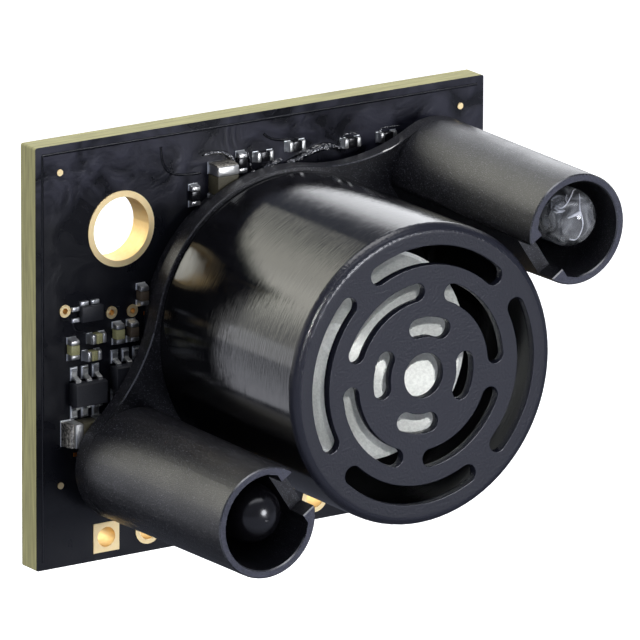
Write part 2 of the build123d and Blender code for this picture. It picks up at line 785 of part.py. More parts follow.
# Back of the board: driver chip with legs on two sides, controller, clock and small parts
with BuildPart() as driver_chip:
    with BuildSketch(board_back.offset(-leg_rise)):
        with Locations(driver_at):
            Rectangle(driver_l, driver_w)
    extrude(amount=-leg_t)
    with BuildSketch(board_back.offset(-leg_rise - leg_t)):
        with Locations(driver_at):
            Rectangle(driver_l, driver_w)
    extrude(amount=leg_rise + leg_t - driver_h, taper=chip_draft)
    with BuildSketch(board_back.offset(-leg_rise)):
        with Locations(driver_at):
            Rectangle(driver_l, driver_w)
    extrude(amount=leg_rise, taper=chip_draft)
driver_chip.part.label = "driver_chip"
export_step(driver_chip.part, "parts/driver_chip.step")

with BuildPart() as driver_chip_legs:
    for i in range(driver_legs_a_side):
        leg_x = board_x + driver_at[0] + driver_pitch * (i - (driver_legs_a_side - 1) / 2)
        with Locations(Location((leg_x, 0, board_z + driver_at[1] + driver_w / 2), (0, 0, 180))):
            add(leg.part)
        with Locations(Location((leg_x, 0, board_z + driver_at[1] - driver_w / 2), (180, 0, 0))):
            add(leg.part)
driver_chip_legs.part.label = "driver_chip_legs"
export_step(driver_chip_legs.part, "parts/driver_chip_legs.step")

with BuildPart() as controller_chip:
    with BuildSketch(board_back):
        with Locations(controller_at):
            Rectangle(controller_side, controller_side)
    extrude(amount=-controller_h)
controller_chip.part.label = "controller_chip"
export_step(controller_chip.part, "parts/controller_chip.step")

with BuildPart() as clock_can:
    with BuildSketch(board_back):
        with Locations(clock_at):
            RectangleRounded(clock_l, clock_w, 0.3)
    extrude(amount=-clock_h)
clock_can.part.label = "clock_can"
export_step(clock_can.part, "parts/clock_can.step")

with BuildPart() as back_capacitors:
    with BuildSketch(board_back):
        with Locations(*back_upright):
            Rectangle(chip_w, chip_l - 2 * chip_end)
    extrude(amount=-capacitor_h)
back_capacitors.part.label = "back_capacitors"
export_step(back_capacitors.part, "parts/back_capacitors.step")

with BuildPart() as back_capacitor_ends:
    with BuildSketch(board_back):
        with Locations(*back_upright):
            with GridLocations(chip_w, chip_l - chip_end, 1, 2):
                Rectangle(chip_w + end_lap, chip_end)
    extrude(amount=-capacitor_h - end_lap)
back_capacitor_ends.part.label = "back_capacitor_ends"
export_step(back_capacitor_ends.part, "parts/back_capacitor_ends.step")

with BuildPart() as back_resistors:
    with BuildSketch(board_back):
        with Locations(*back_level):
            Rectangle(chip_l - 2 * chip_end, chip_w)
    extrude(amount=-resistor_h)
back_resistors.part.label = "back_resistors"
export_step(back_resistors.part, "parts/back_resistors.step")

with BuildPart() as back_resistor_ends:
    with BuildSketch(board_back):
        with Locations(*back_level):
            with GridLocations(chip_l - chip_end, chip_w, 2, 1):
                Rectangle(chip_end, chip_w + end_lap)
    extrude(amount=-resistor_h - end_lap)
back_resistor_ends.part.label = "back_resistor_ends"
export_step(back_resistor_ends.part, "parts/back_resistor_ends.step")
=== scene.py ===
from math import atan, hypot, pi, radians, sin

import bpy
from bpy.props import FloatProperty, FloatVectorProperty, PointerProperty
from mathutils import Euler, Matrix, Vector
from mathutils.kdtree import KDTree


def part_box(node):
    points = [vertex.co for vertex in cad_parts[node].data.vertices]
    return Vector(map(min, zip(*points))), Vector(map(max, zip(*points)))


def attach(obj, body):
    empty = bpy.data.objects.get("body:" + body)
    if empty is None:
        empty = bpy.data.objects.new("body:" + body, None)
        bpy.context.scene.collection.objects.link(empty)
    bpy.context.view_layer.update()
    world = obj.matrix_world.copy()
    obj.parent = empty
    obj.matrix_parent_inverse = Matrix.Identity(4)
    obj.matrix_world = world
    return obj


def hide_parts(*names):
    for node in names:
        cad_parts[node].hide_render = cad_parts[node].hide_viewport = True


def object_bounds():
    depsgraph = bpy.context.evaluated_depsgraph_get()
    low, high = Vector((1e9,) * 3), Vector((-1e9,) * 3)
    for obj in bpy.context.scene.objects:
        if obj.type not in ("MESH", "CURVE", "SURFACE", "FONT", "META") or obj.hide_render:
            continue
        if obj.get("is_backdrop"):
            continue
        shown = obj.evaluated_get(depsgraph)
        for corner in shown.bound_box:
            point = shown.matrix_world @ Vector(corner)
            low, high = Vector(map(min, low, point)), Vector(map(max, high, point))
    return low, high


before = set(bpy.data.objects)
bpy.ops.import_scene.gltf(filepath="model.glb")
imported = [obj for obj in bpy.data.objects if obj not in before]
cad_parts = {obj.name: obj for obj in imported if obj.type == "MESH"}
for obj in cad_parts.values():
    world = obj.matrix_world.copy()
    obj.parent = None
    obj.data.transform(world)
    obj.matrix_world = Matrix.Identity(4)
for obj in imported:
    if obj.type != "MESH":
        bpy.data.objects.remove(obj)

bl_info = {
    "name": "Ultrasonic sensor",
    "version": (1, 0, 0),
    "blender": (4, 5, 0),
    "location": "View3D > Sidebar > Sensor",
    "description": "Dresses a board-mounted ultrasonic distance sensor for a studio picture",
    "category": "Object",
}

MM = 0.001
RIGHT = Vector((1, 0, 0))

# Places taken from the frame
BOARD_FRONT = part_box("circuit_board")[0].y
CAN_LOW, CAN_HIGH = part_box("transducer_can")
CAN_CENTRE = (CAN_LOW + CAN_HIGH) / 2
CAN_RADIUS = (CAN_HIGH.x - CAN_LOW.x) / 2
HOLDER_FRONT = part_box("sensor_holder")[0].y
DOME_RADIUS = 1.5 * MM
DOME_MIDDLE = sum(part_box("emitter_led"), Vector()) / 2
DOME_MIDDLE.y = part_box("emitter_led")[0].y + DOME_RADIUS

# Heights near the board's top between which the dried flux, and the sheen painted with its film, grow from
# none to their full share
FLUX_AND_SHEEN_FROM = 0.5 * MM
FLUX_AND_SHEEN_FULL = 2.5 * MM
# The two brown capacitors are the ones that stand between these two places in X
BROWN_FROM = 0.25 * MM
BROWN_TO = 1.5 * MM
# Depths behind the holder's front at which the painted light on the tubes' flat mouths is full, and gone
MOUTH_LIGHT_FULL = 0.01 * MM
MOUTH_LIGHT_GONE = 0.05 * MM
# Depths behind the can's front: the coat is smooth from the second on, and gloss from the fourth on
RIM_FROM = 0.001 * MM
RIM_SMOOTH = 0.012 * MM
DULL_TO = 0.4 * MM
GLOSS_FROM = 0.46 * MM

# The holder's edges are rounded where they are this many times the rounding's width from any inner corner
ROOM = 2.5
# An inner corner is measured from the points at its ends and this many steps between them
CORNER_STEPS = 8
# Edges sharper than this are rounded and stay sharp in the shading
SHARP = radians(30)
# Edges of the solder stay sharp in the shading only past this
SOLDER_SHARP = radians(50)
# Faces this close to one plane are one face, and points this close together are one point
FLAT = radians(0.4)
SAME_POINT = 1e-7
# Solids whose boxes are no further apart than this count as touching
TOUCH = 0.01 * MM

# Solder: how much of an end's height its fillet climbs
FILLETS = (
    ("small_capacitors", "small_capacitor_ends", 0.75),
    ("bulk_capacitors", "bulk_capacitor_ends", 0.85),
    ("resistors", "resistor_ends", 0.75),
)
# A fillet taller than this is a heap, and a heap on a left end reaches this many times as far
HEAP_FROM = 0.5 * MM
HEAP_REACH = 3
# Widths and reach of fillets and cushions, as shares of the end's width and the fillet's reach
FILLET_WIDTH = 0.96
CUSHION_WIDTH = 1.08
CUSHION_REACH = 1.1
# Cushion under a leg: its start behind the tip, its length and width, and its height in pad cushions
LEG_CUSHION = (0.57 * MM, 0.7 * MM, 0.42 * MM)
LEG_CUSHION_LAYERS = 3
# Fillet before a leg: its start behind the tip, its length, width and height
LEG_FILLET = (0.02 * MM, 0.12 * MM, 0.3 * MM, 0.2 * MM)
# Cushion under a pad of the tiny chip: its start left of the pad, how much longer it is, and its height
TINY_CUSHION = (0.04 * MM, 0.06 * MM, 0.16 * MM)

# A speck takes this share of its pattern's blotch
SPECK_SHARE = 0.7

# Strings of adhesive and flux on the board, as X and Z in millimetres and a share of the full width
ADHESIVE = (
    ((6.9, 0.95, 0.6), (7.6, 1.55, 0.9), (8.6, 1.95, 0.7), (9.6, 2.2, 0.5)),
    (
        (9.9, 1.9, 0.7), (10.6, 2.1, 0.9), (11.3, 2.35, 0.7),
        (12.2, 2.55, 1.0), (12.9, 2.45, 0.6), (13.6, 2.1, 0.3),
    ),
    (
        (4.9, 3.1, 0.2), (5.6, 3.2, 0.4), (6.3, 3.05, 0.5),
        (6.75, 2.6, 0.7), (6.8, 2.0, 0.5), (6.75, 1.2, 0.4),
    ),
    ((7.55, 2.9, 0.25), (7.75, 2.5, 0.3), (7.75, 2.0, 0.3), (8.1, 1.75, 0.3)),
    ((13.2, 2.3, 0.2), (13.3, 2.85, 0.25), (13.85, 3.05, 0.25), (14.4, 2.85, 0.2)),
    ((15.5, 2.35, 0.15), (15.6, 2.9, 0.2), (16.1, 3.0, 0.15), (16.9, 2.95, 0.12)),
)
# Traces and bare dots on the board's front, as X and Z in millimetres
TRACES = (
    ((-2.84, -4.54), (-2.8, -4.8), (-2.5, -5.05), (-2.0, -5.14)),
    ((-3.5, -4.2), (-3.2, -4.25), (-2.95, -4.3)),
    ((-1.0, -4.1), (-0.6, -4.1), (-0.1, -4.1)),
    ((-4.7, 4.45), (4.0, 4.45), (12.0, 4.45), (21.7, 4.45)),
    ((-4.68, 4.45), (-4.68, 0.0), (-4.68, -8.0), (-4.68, -16.8)),
    ((2.4, 3.9), (2.4, 3.0), (3.2, 2.2), (4.8, 2.2)),
    ((8.6, 3.7), (9.1, 3.2), (10.1, 3.2)),
)
COPPER_DOTS = ((-2.86, -11.4), (1.36, -4.63))

# Painted reflections on the clear dome, drawn as white lines: offsets in X and Z from its middle in
# millimetres and a share of the width
REFLECTION_LINES = (
    (
        (0.34, 1.42, 0.5), (0.12, 1.44, 0.9), (-0.08, 1.36, 1), (-0.37, 1.18, 1),
        (-0.63, 0.97, 1), (-0.86, 0.79, 1), (-1.02, 0.74, 1.1), (-1.06, 0.87, 0.7),
    ),
    ((-1.15, 0.74, 0.9), (-1.13, 0.66, 1.2), (-0.98, 0.62, 1.2), (-0.82, 0.66, 0.8)),
    ((-1.22, 0.58, 0.8), (-1.1, 0.53, 1), (-0.92, 0.6, 0.7)),
    (
        (0.3, 1.3, 0.5), (0.2, 1.2, 0.9), (0.0, 0.93, 0.8), (-0.14, 0.63, 1.5), (-0.06, 0.3, 1.2),
        (0.0, -0.08, 1.0), (-0.07, -0.45, 0.9), (-0.14, -0.8, 0.9), (-0.3, -0.97, 1.2), (-0.56, -0.84, 0.8),
    ),
    ((-0.78, 0.3, 0.7), (-0.6, 0.38, 1.6), (-0.4, 0.45, 2.4), (-0.2, 0.52, 2.6), (-0.1, 0.56, 1.6)),
    ((-0.42, 1.3, 0.6), (-0.61, 1.16, 0.8), (-0.6, 1.04, 0.7)),
)

# Studio: brightness of the room in front, as gloss shows it, and its bluish tint
FRONT_ROOM = 0.26
FRONT_TINT = "#dfe6ff"
# Brightness of the floor in gloss, in front of the sensor and behind it, and where one turns into the other
FRONT_FLOOR = 0.5
BACK_FLOOR = 0.12
FLOOR_FRONT_AT = -0.15
FLOOR_BACK_AT = -0.05
FLOOR_SIZE = 6
# Colour of the floor, and how much it shines for the camera alone, so that it looks white
FLOOR_COLOUR = "#f2f2f0"
FLOOR_GLOW = 0.8
# Brightness of the world as the sensor's matt faces get it
FILL = 0.35
# Top edge of the white sheet behind, as the sine of its height in degrees, and how soft its edges are
SHEET_TOP = sin(radians(33.5))
SHEET_TOP_BLUR = 0.03
SHEET_SIDE_BLUR = 0.1

# Softboxes: azimuth and height in degrees from the sensor, metres away, width, height, brightness, colour
LAMPS = (
    ("key_softbox", 162.0, 7.5, 0.8, 0.27, 0.27, 18.0, "#f6f8ff"),
    ("top_softbox", 0.0, 80.0, 0.6, 0.42, 0.42, 4.0, "#ffffff"),
    ("front_top_softbox", -178.0, 58.0, 0.6, 0.62, 0.12, 2.2, "#f6f8ff"),
    ("back_left_softbox", -17.0, 23.5, 0.5, 0.42, 0.36, 2.3, "#fffdec"),
    ("back_right_softbox", 28.0, 16.0, 0.6, 0.38, 0.34, 2.0, "#f6f9ff"),
    ("low_left_softbox", -36.0, -8.5, 0.38, 0.12, 0.2, 1.35, "#f4f6ff"),
)
# Spot on the grille: azimuth and height in degrees from the can's face, metres away and watts
GRILLE_SPOT = (-147.0, 19.0, 0.6, 9.0)
# Camera: place in metres, azimuth, downward tilt and roll in degrees, and focal length in millimetres
CAMERA_PLACE = (-0.299692, -0.465619, 0.150921)
CAMERA_TURN = -33.883
CAMERA_TILT = 15.734
CAMERA_ROLL = 0.236
CAMERA_LENS = 640.59


def linear(code):
    """Turns an sRGB hex colour into the linear RGBA that shaders and properties hold."""
    parts = [int(code[i : i + 2], 16) / 255 for i in (1, 3, 5)]
    return [p / 12.92 if p <= 0.04045 else ((p + 0.055) / 1.055) ** 2.4 for p in parts] + [1.0]


def darker(shade, share):
    """The same colour at a share of its brightness."""
    return [part * share for part in shade[:3]] + [1.0]


def colour(name, description, code):
    """Property for a colour."""
    return FloatVectorProperty(
        name=name, description=description, subtype="COLOR", size=4, min=0, max=1, default=linear(code)
    )


def length(name, description, millimetres):
    """Property for a length."""
    return FloatProperty(
        name=name, description=description, unit="LENGTH", precision=5, min=0, default=millimetres * MM
    )


class SensorSizes(bpy.types.PropertyGroup):
    """Small sizes that the CAD solids leave to the visual model."""

    holder_edge: length("Holder edge", "Rounding along the edges of the moulded holder", 0.06)
    plate_ledge: length("Plate ledge", "How far the holder's plate stands out round the can", 0.3)
    can_edge: length("Can edge", "Rounding along the can's edges and the grille's slots", 0.05)
    chip_edge: length("Chip edge", "Rounding along the edges of the small parts", 0.035)
    end_edge: length("End edge", "Rounding of the dipped metal ends", 0.07)
    fillet_reach: length("Fillet reach", "How far a solder fillet runs out from a part's end", 0.1)
    pad_cushion: length("Pad cushion", "Height of the solder that a pad holds", 0.03)
    adhesive_width: length("Adhesive width", "Width of a full string of adhesive", 0.5)
    adhesive_height: length("Adhesive height", "Height of a full string of adhesive", 0.42)
    trace_width: length("Trace width", "Width of a copper trace under the mask", 0.15)
    trace_height: length("Trace height", "How far a trace lifts the mask", 0.03)
    dot_width: length("Dot width", "Width of a bare copper dot", 0.2)
    dot_height: length("Dot height", "Height of a bare copper dot", 0.02)
    # Painted reflection: the lines drawn on the clear dome stand in for its reflections
    reflection_stroke: length("Flow line", "Width of the milky lines in the clear LED", 0.07)
    floor_drop: length("Floor drop", "Height of the held sensor above the floor", 160)


class SensorColours(bpy.types.PropertyGroup):
    """Colours of the sensor's materials, as they look in plain light."""

    mask: colour("Solder mask", "Black solder mask on the board", "#0b0c12")
    # Flux film: partly a real film of dried flux, partly painted sheen along the board's top
    flux_film_and_sheen: colour("Flux film", "Milky film of dried flux along the board's top", "#2c2c37")
    laminate: colour("Laminate", "Cut edge of the glass and resin board", "#b2ad78")
    gold: colour("Gold", "Thin gold plating on copper", "#ffe9b6")
    holder: colour("Holder", "Moulded black holder", "#0b0b0f")
    fibre: colour("Glass fibre", "Glass fibres at the surface of the holder", "#7c7c84")
    # Painted light: the paler colour of the tubes' flat mouths
    mouth_painted_light: colour("Cut mouth", "Flat mouths of the two tubes", "#40414f")
    lacquer: colour("Can side", "Gloss black lacquer on the can's side", "#060607")
    face: colour("Can face", "Dull black coat on the can's face and rim", "#181922")
    cone: colour("Cone", "Pressed aluminium cone", "#e8eae6")
    header: colour("Header", "Moulded base of the transducer", "#202124")
    silicone: colour("Silicone", "Cast silicone seat", "#b8b8b2")
    piezo: colour("Piezo disc", "Fired piezo ceramic", "#c9c4ab")
    tin: colour("Tin", "Matt tin plating", "#dcdcd8")
    nickel: colour("Nickel", "Nickel-plated lid of the clock can", "#cfccc4")
    solder: colour("Solder", "Reflowed solder", "#eceeee")
    capacitor: colour("Capacitor", "Fired ceramic of the capacitors", "#a6a374")
    brown_ceramic: colour("Brown ceramic", "Fired ceramic of the two brown capacitors", "#4c4236")
    # Painted shade: the large capacitors' ceramic is painted darker than its own tone
    bulk_ceramic_and_shade: colour("Bulk ceramic", "Fired ceramic of the two large capacitors", "#57523e")
    dull_solder: colour("Dull solder", "Solder heaped on the large capacitors' ends", "#d8d2c4")
    # Painted shade: the bore's wall is painted darker and redder than the pad's gold
    bore: colour("Bore", "Plated wall of a bore", "#f8da9c")
    copper: colour("Copper", "Bare copper of the two small dots", "#e08a3c")
    # Painted reflection: the white of the lines drawn on the clear dome
    reflection_white: colour("Milk", "Milky flow lines in the clear epoxy", "#e9ebf2")
    chip: colour("Chip", "Moulded epoxy of the chips", "#232429")
    glaze: colour("Glaze", "Black glaze of the resistors", "#141416")
    die: colour("Die", "Polished dies of the LEDs", "#6b6870")
    clear_lens: colour("Clear lens", "Clear epoxy", "#f4f6f8")
    dark_lens: colour("Dark lens", "Epoxy that only lets infrared through", "#0b0a0d")


def add_node(tree, kind, inputs=None, stops=(), **settings):
    """Adds a node, sets its attributes and a ramp's stops, and sets or links each of its inputs."""
    made = tree.nodes.new(kind)
    for key, value in settings.items():
        setattr(made, key, value)
    for number, (position, shade) in enumerate(stops):
        made.color_ramp.elements[number].position = position
        made.color_ramp.elements[number].color = shade
    for key, value in (inputs or {}).items():
        if isinstance(value, bpy.types.NodeSocket):
            tree.links.new(value, made.inputs[key])
        else:
            made.inputs[key].default_value = value
    return made


def new_material(name):
    """Starts an empty material and returns it with its node tree and the place on the piece."""
    material = bpy.data.materials.new(name)
    material.use_nodes = True
    tree = material.node_tree
    tree.nodes.clear()
    return material, tree, add_node(tree, "ShaderNodeTexCoord").outputs["Object"]


def give(names, material):
    """Puts one material on the named CAD nodes."""
    for name in names:
        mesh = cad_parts[name].data
        mesh.materials.clear()
        mesh.materials.append(material)


# Materials of the board. A pattern's scale is its number of blotches in a millimetre, over MM.


def masked_laminate(colours):
    """Board: glass and resin laminate under sprayed and baked mask, satin black with a pale sawn edge."""
    material, tree, place = new_material("masked_laminate")
    # Slow swelling of the mask over the copper, about 2 mm long
    swell = add_node(
        tree, "ShaderNodeTexNoise", {"Vector": place, "Scale": 0.52 / MM, "Detail": 4.0, "Distortion": 0.9}
    )
    # Orange peel of the baked mask, about 0.2 mm
    peel = add_node(tree, "ShaderNodeTexNoise", {"Vector": place, "Scale": 5.2 / MM, "Detail": 3.0})
    # The skin of dried flux wrinkles more along the top of the board
    parts = add_node(tree, "ShaderNodeSeparateXYZ", {"Vector": place})
    top = add_node(
        tree,
        "ShaderNodeMapRange",
        {
            "Value": parts.outputs["Z"],
            "From Min": FLUX_AND_SHEEN_FROM,
            "From Max": FLUX_AND_SHEEN_FULL,
            "To Min": 0.06 * MM,
            "To Max": 0.11 * MM,
        },
    )
    swell_bump = add_node(
        tree,
        "ShaderNodeBump",
        {"Height": swell.outputs["Fac"], "Strength": 0.5, "Distance": top.outputs["Result"]},
    )
    bump = add_node(
        tree,
        "ShaderNodeBump",
        {
            "Height": peel.outputs["Fac"],
            "Strength": 0.3,
            "Distance": 0.02 * MM,
            "Normal": swell_bump.outputs["Normal"],
        },
    )
    dull = add_node(
        tree,
        "ShaderNodeMapRange",
        {"Value": swell.outputs["Fac"], "From Min": 0.35, "From Max": 0.65, "To Min": 0.26, "To Max": 0.4},
    )
    # It also leaves a milky film there, in patches, whose colour is partly painted sheen that lightens the
    # board's top
    film_and_sheen_share = add_node(
        tree,
        "ShaderNodeMapRange",
        {"Value": parts.outputs["Z"], "From Min": FLUX_AND_SHEEN_FROM, "From Max": FLUX_AND_SHEEN_FULL},
    )
    patches = add_node(
        tree,
        "ShaderNodeMapRange",
        {"Value": swell.outputs["Fac"], "From Min": 0.35, "From Max": 0.6},
    )
    film = add_node(
        tree,
        "ShaderNodeMath",
        {0: film_and_sheen_share.outputs["Result"], 1: patches.outputs["Result"]},
        operation="MULTIPLY",
    )
    tone = add_node(
        tree,
        "ShaderNodeMix",
        {"Factor": film.outputs["Value"], "A": colours.mask, "B": colours.flux_film_and_sheen},
        data_type="RGBA",
    )
    mask = add_node(
        tree,
        "ShaderNodeBsdfPrincipled",
        {
            "Base Color": tone.outputs["Result"],
            "Roughness": dull.outputs["Result"],
            "IOR": 1.4,
            "Normal": bump.outputs["Normal"],
        },
    )
    # Layers of glass cloth in the sawn edge, about 0.18 mm apart, with streaks 2.5 mm long
    stretched = add_node(
        tree, "ShaderNodeMapping", {"Vector": place, "Scale": (0.4 / MM, 5.5 / MM, 0.4 / MM)}
    )
    layers = add_node(
        tree, "ShaderNodeTexNoise", {"Vector": stretched.outputs["Vector"], "Scale": 1.0, "Detail": 3.0}
    )
    edge_colour = add_node(
        tree,
        "ShaderNodeValToRGB",
        {"Fac": layers.outputs["Fac"]},
        stops=((0.3, darker(colours.laminate, 0.62)), (0.68, colours.laminate)),
    )
    edge_bump = add_node(
        tree, "ShaderNodeBump", {"Height": layers.outputs["Fac"], "Strength": 0.5, "Distance": 0.03 * MM}
    )
    edge = add_node(
        tree,
        "ShaderNodeBsdfPrincipled",
        {
            "Base Color": edge_colour.outputs["Color"],
            "Roughness": 0.72,
            "IOR": 1.5,
            "Normal": edge_bump.outputs["Normal"],
        },
    )
    normal = add_node(tree, "ShaderNodeNewGeometry").outputs["True Normal"]
    facing = add_node(tree, "ShaderNodeSeparateXYZ", {"Vector": normal})
    out = add_node(tree, "ShaderNodeMath", {0: facing.outputs["Y"]}, operation="ABSOLUTE")
    is_face = add_node(tree, "ShaderNodeMath", {0: out.outputs["Value"], 1: 0.5}, operation="GREATER_THAN")
    both = add_node(
        tree,
        "ShaderNodeMixShader",
        {"Fac": is_face.outputs["Value"], 1: edge.outputs["BSDF"], 2: mask.outputs["BSDF"]},
    )
    add_node(tree, "ShaderNodeOutputMaterial", {"Surface": both.outputs["Shader"]})
    return material


def masked_traces(colours):
    """Traces: copper under the same sprayed mask, a hair higher than the board and as satin."""
    material, tree, place = new_material("masked_traces")
    # Orange peel of the baked mask, about 0.2 mm
    peel = add_node(tree, "ShaderNodeTexNoise", {"Vector": place, "Scale": 5.2 / MM, "Detail": 3.0})
    bump = add_node(
        tree, "ShaderNodeBump", {"Height": peel.outputs["Fac"], "Strength": 0.3, "Distance": 0.02 * MM}
    )
    shader = add_node(
        tree,
        "ShaderNodeBsdfPrincipled",
        {"Base Color": colours.mask, "Roughness": 0.26, "IOR": 1.45, "Normal": bump.outputs["Normal"]},
    )
    add_node(tree, "ShaderNodeOutputMaterial", {"Surface": shader.outputs["BSDF"]})
    return material


def gold_plating(colours):
    """Pads and plated holes: immersion gold on copper, soft and bright, with the copper's faint grain."""
    material, tree, place = new_material("gold_plating")
    # Grain of the plated copper, drawn coarse enough to show, about 0.17 mm
    grain = add_node(tree, "ShaderNodeTexNoise", {"Vector": place, "Scale": 6 / MM, "Detail": 3.0})
    dull = add_node(
        tree,
        "ShaderNodeMapRange",
        {"Value": grain.outputs["Fac"], "From Min": 0.3, "From Max": 0.7, "To Min": 0.5, "To Max": 0.65},
    )
    bump = add_node(
        tree, "ShaderNodeBump", {"Height": grain.outputs["Fac"], "Strength": 0.2, "Distance": 0.02 * MM}
    )
    # The wall of a bore is painted a little darker and redder than the pad round it, as painted shade
    # inside the hole
    normal = add_node(tree, "ShaderNodeNewGeometry").outputs["True Normal"]
    facing = add_node(tree, "ShaderNodeSeparateXYZ", {"Vector": normal})
    out = add_node(tree, "ShaderNodeMath", {0: facing.outputs["Y"]}, operation="ABSOLUTE")
    tone = add_node(
        tree,
        "ShaderNodeMix",
        {"Factor": out.outputs["Value"], "A": colours.bore, "B": colours.gold},
        data_type="RGBA",
    )
    shader = add_node(
        tree,
        "ShaderNodeBsdfPrincipled",
        {
            "Base Color": tone.outputs["Result"],
            "Metallic": 1.0,
            "Roughness": dull.outputs["Result"],
            "Normal": bump.outputs["Normal"],
        },
    )
    add_node(tree, "ShaderNodeOutputMaterial", {"Surface": shader.outputs["BSDF"]})
    return material


# Materials of the holder and the transducer


def moulded_nylon(colours):
    """Holder: glass-filled nylon moulded in a spark-eroded tool, dull black with a fine even grain."""
    material, tree, place = new_material("moulded_nylon")
    # Grain of the tool, about 0.06 mm
    grain = add_node(tree, "ShaderNodeTexNoise", {"Vector": place, "Scale": 17 / MM, "Detail": 2.0})
    # Slow change of gloss over the moulding, about 2 mm
    cloud = add_node(tree, "ShaderNodeTexNoise", {"Vector": place, "Scale": 0.5 / MM, "Detail": 2.0})
    dull = add_node(
        tree,
        "ShaderNodeMapRange",
        {"Value": cloud.outputs["Fac"], "From Min": 0.3, "From Max": 0.7, "To Min": 0.3, "To Max": 0.38},
    )
    bump = add_node(
        tree, "ShaderNodeBump", {"Height": grain.outputs["Fac"], "Strength": 1.0, "Distance": 0.014 * MM}
    )
    # Glass fibres that show at the surface as pale specks
    specks = add_node(
        tree,
        "ShaderNodeValToRGB",
        {"Fac": grain.outputs["Fac"]},
        stops=((0.58, colours.holder), (0.8, colours.fibre)),
    )
    # The tubes' flat mouths are painted paler, as painted light where the front light falls on them
    parts = add_node(tree, "ShaderNodeSeparateXYZ", {"Vector": place})
    mouth = add_node(
        tree,
        "ShaderNodeMapRange",
        {
            "Value": parts.outputs["Y"],
            "From Min": HOLDER_FRONT + MOUTH_LIGHT_GONE,
            "From Max": HOLDER_FRONT + MOUTH_LIGHT_FULL,
        },
    )
    mouth_light = add_node(
        tree,
        "ShaderNodeValToRGB",
        {"Fac": grain.outputs["Fac"]},
        stops=((0.35, darker(colours.mouth_painted_light, 0.4)), (0.65, colours.mouth_painted_light)),
    )
    tone = add_node(
        tree,
        "ShaderNodeMix",
        {"Factor": mouth.outputs["Result"], "A": specks.outputs["Color"], "B": mouth_light.outputs["Color"]},
        data_type="RGBA",
    )
    shader = add_node(
        tree,
        "ShaderNodeBsdfPrincipled",
        {
            "Base Color": tone.outputs["Result"],
            "Roughness": dull.outputs["Result"],
            "IOR": 1.53,
            "Normal": bump.outputs["Normal"],
        },
    )
    add_node(tree, "ShaderNodeOutputMaterial", {"Surface": shader.outputs["BSDF"]})
    return material


def rubbed_nylon(colours):
    """Edges of the holder: the same nylon, rubbed smooth by handling, with a thin bright line.

    Its IOR is raised, as the can's and the adhesive's are, until its gloss is as bright as the real one's.
    """
    material, tree, place = new_material("rubbed_nylon")
    # Rubbed spots, about 0.17 mm
    grain = add_node(tree, "ShaderNodeTexNoise", {"Vector": place, "Scale": 6 / MM, "Detail": 2.0})
    dull = add_node(
        tree,
        "ShaderNodeMapRange",
        {"Value": grain.outputs["Fac"], "From Min": 0.3, "From Max": 0.7, "To Min": 0.16, "To Max": 0.3},
    )
    shader = add_node(
        tree,
        "ShaderNodeBsdfPrincipled",
        {"Base Color": colours.holder, "Roughness": dull.outputs["Result"], "IOR": 2.4},
    )
    add_node(tree, "ShaderNodeOutputMaterial", {"Surface": shader.outputs["BSDF"]})
    return material


